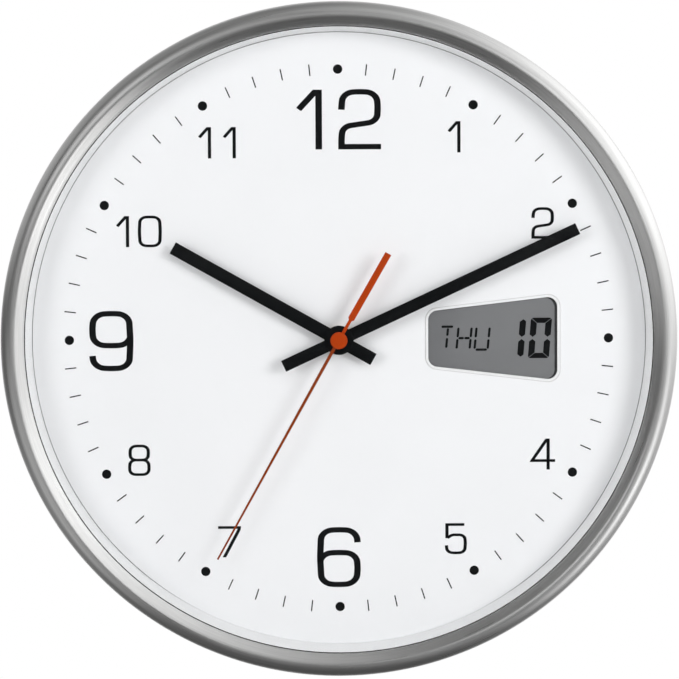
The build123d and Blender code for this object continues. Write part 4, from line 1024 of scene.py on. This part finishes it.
def makeCamera():
    data = bpy.data.cameras.new("camera")
    data.lens = view["lens"]
    data.sensor_width = view["sensor"]
    camera = addObject("camera", data)
    raised = radians(view["raised"])
    target = Vector((0, dialFace, 0))
    back = Vector((0, -cos(raised), sin(raised)))
    up = Vector((0, sin(raised), cos(raised)))
    side = Vector((1, 0, 0))
    aside = side * view["right"] * mm - up * view["down"] * mm
    camera.location = target + back * view["distance"] + aside
    look = Matrix((side, up, back)).transposed().to_4x4()
    camera.rotation_euler = (look @ Matrix.Rotation(-radians(view["roll"]), 4, "Z")).to_euler()
    bpy.context.scene.camera = camera


# Stage: white surroundings, a pale floor well below, soft lamps in front and behind
studio = {
    "floorDrop": 0.75, "floorSize": 3.0,
    "floorFade": (0.3, 1.2),                # metres from below the clock, over which the floor turns white
    "surround": 0.42,                       # even light on matt surfaces
    "dark": 0.03,                           # what the flat glass mirrors straight back at the camera
    "darkWithin": (5.5, 8.5),               # degrees off that direction
    "rear": 0.85, "rearWithin": (30, 44),   # degrees off straight behind
}
lamps = {
    "keyLamp": {"turn": 44, "raise": 11, "away": 1.7, "size": 0.80, "power": 13.6},
    "fillLamp": {"turn": -44, "raise": 9, "away": 1.7, "size": 0.85, "power": 8.4},
    "topLamp": {"turn": 5, "raise": 40, "away": 1.7, "size": 1.00, "power": 3.25},
    "rearKeyLamp": {"turn": 145, "raise": 28, "away": 1.8, "size": 0.60, "power": 17.0},
    "rearFillLamp": {"turn": -140, "raise": 8, "away": 1.8, "size": 0.80, "power": 8.0},
}
# Soft panel close beside the camera, seen in the rim's crest: clockwise from straight up, degrees off it
rightPanel = {"clockwise": 60, "off": 21, "within": (5, 14), "level": 1.6}
# Light round the clock for mirror-like surfaces, in three rings: the side ring lies beyond the clock's edge,
# the front ring nearest to the viewer, and the middle ring between them. Each has an even level and soft
# panels. A panel is given by its middle clockwise from straight up, how far from there it is full and how
# far it fades out, all in degrees, and by what it adds.
sideRing = {"level": 0.09, "panels": [
    (62, 10, 52, 1.05), (70, 40, 95, 0.4), (237, 5, 25, 0.15), (294, 10, 25, 0.2), (310, 20, 45, 0.2),
]}
middleRing = {"within": (77, 86), "level": 0.09, "panels": [
    (60, 10, 90, 1.0), (70, 0, 25, 0.4), (124, 5, 30, 1.4), (239, 10, 32, 0.45), (350, 0, 30, 0.1),
]}
frontRing = {"within": (44, 52), "level": 0.05, "panels": [
    (62, 10, 30, 0.6), (75, 10, 170, 0.4), (238, 5, 32, 0.45), (303, 0, 40, 1.0),
]}
ringStep = 15       # degrees, as a colour ramp holds 32 stops


def ringLevel(ring, clockwise):
    level = ring["level"]
    for middle, full, faded, adds in ring["panels"]:
        off = abs((clockwise - middle + 180) % 360 - 180)
        share = min(max((faded - off) / (faded - full), 0), 1)
        level += adds * share * share * (3 - 2 * share)
    return level


def ringColours(tree, around, ring):
    ramp = addNode(tree, "ShaderNodeValToRGB", {0: around})
    ramp.color_ramp.interpolation = "LINEAR"
    stops = ramp.color_ramp.elements
    stops.remove(stops[-1])
    for clockwise in range(0, 360 + ringStep, ringStep):
        stop = stops.new(clockwise / 360) if clockwise else stops[0]
        stop.position = clockwise / 360
        stop.color = (*[ringLevel(ring, clockwise)] * 3, 1)
    return ramp.outputs[0]


def facing(tree, direction, full, faded):
    # 1 within some degrees of a direction, falling to 0 beyond.
    match = addNode(tree, "ShaderNodeVectorMath", {0: coordinates(tree, "Generated"), 1: direction},
                    operation="DOT_PRODUCT")
    edge, core = cos(radians(faded)), cos(radians(full))
    return remap(tree, match.outputs["Value"], edge, core, smooth=True)


def makeWorld():
    world = bpy.data.worlds.new("studio")
    bpy.context.scene.world = world
    world.use_nodes = True
    tree = world.node_tree
    tree.nodes.clear()
    x, y, z = axesOf(tree, coordinates(tree, "Generated"))
    turns = calculate(tree, "DIVIDE", calculate(tree, "ARCTAN2", x, z), tau)
    around = calculate(tree, "FRACT", calculate(tree, "ADD", turns, 1.0))
    light = ringColours(tree, around, sideRing)
    for ring in (middleRing, frontRing):
        within = facing(tree, (0, -1, 0), *ring["within"])
        light = mixColours(tree, within, light, ringColours(tree, around, ring))
    turn, off = radians(rightPanel["clockwise"]), radians(rightPanel["off"])
    below = radians(view["raised"])
    beside = (sin(turn) * sin(off), -cos(off), cos(turn) * sin(off))
    straightBack = (0, -cos(below), -sin(below))
    for direction, within, level in ((beside, rightPanel["within"], rightPanel["level"]),
                                     ((0, 1, 0), studio["rearWithin"], studio["rear"]),
                                     (straightBack, studio["darkWithin"], studio["dark"])):
        light = mixColours(tree, facing(tree, direction, *within), light, (level,) * 3)
    rays = addNode(tree, "ShaderNodeLightPath").outputs
    passing = rays["Is Transmission Ray"]
    mirrored = calculate(tree, "MAXIMUM", rays["Is Glossy Ray"], passing)
    lit = mixColours(tree, mirrored, (studio["surround"],) * 3, light)
    # Light that the glass turns back inside itself leaves towards the viewer; only what lies behind is white.
    behind = times(tree, passing, calculate(tree, "GREATER_THAN", y, 0.0))
    seen = calculate(tree, "MAXIMUM", rays["Is Camera Ray"], behind)
    background = addNode(tree, "ShaderNodeBackground", {"Color": mixColours(tree, seen, lit, (1, 1, 1))})
    addNode(tree, "ShaderNodeOutputWorld", {"Surface": background.outputs[0]})


def softLamp(name, lamp):
    # Turned to the right of the dial's normal and raised above it, both in degrees.
    turn, raised = radians(lamp["turn"]), radians(lamp["raise"])
    target = Vector((0, dialFace, 0))
    data = bpy.data.lights.new(name, "AREA")
    data.shape = "DISK"
    data.size = lamp["size"]
    data.energy = lamp["power"]
    light = addObject(name, data)
    direction = Vector((sin(turn) * cos(raised), -cos(turn) * cos(raised), sin(raised)))
    light.location = target + direction * lamp["away"]
    light.rotation_euler = direction.to_track_quat("Z", "Y").to_euler()
    light.visible_glossy = False        # the ring of light already stands for it in reflections


def makeFloor():
    # The floor fades into the white of the room where the camera sees it.
    bm = bmesh.new()
    bmesh.ops.create_grid(bm, x_segments=1, y_segments=1, size=studio["floorSize"] / 2)
    bmesh.ops.translate(bm, verts=bm.verts, vec=(0, 0, -studio["floorDrop"]))
    floor = addObject("floor", toMesh(bm, "floor"))
    material, tree, sockets = newMaterial("paleFloor", {"Roughness": 0.8})
    tone = placeGroup(tree, grainGroup, {"Grain Size": 2.0, "Patch Size": 400.0})["Tone"]
    feed(tree, sockets["Base Color"], mixColours(tree, tone, (0.80, 0.80, 0.80), (0.83, 0.83, 0.83)))
    flat = addNode(tree, "ShaderNodeVectorMath", {0: coordinates(tree), 1: (1, 1, 0)}, operation="MULTIPLY")
    away = addNode(tree, "ShaderNodeVectorMath", {0: flat.outputs[0]}, operation="LENGTH").outputs["Value"]
    rays = addNode(tree, "ShaderNodeLightPath").outputs
    seen = calculate(tree, "MAXIMUM", rays["Is Camera Ray"], rays["Is Transmission Ray"])
    fade = times(tree, remap(tree, away, *studio["floorFade"], smooth=True), seen)
    coverWith(tree, fade, addNode(tree, "ShaderNodeEmission"))
    floor.data.materials.append(material)
    floor.visible_glossy = False        # the rim mirrors the dark studio below, not the floor


makeWorld()
for lampName, lampValues in lamps.items():
    softLamp(lampName, lampValues)
makeFloor()
makeCamera()
bpy.context.scene.view_settings.view_transform = "Standard"
print("stage and camera set")
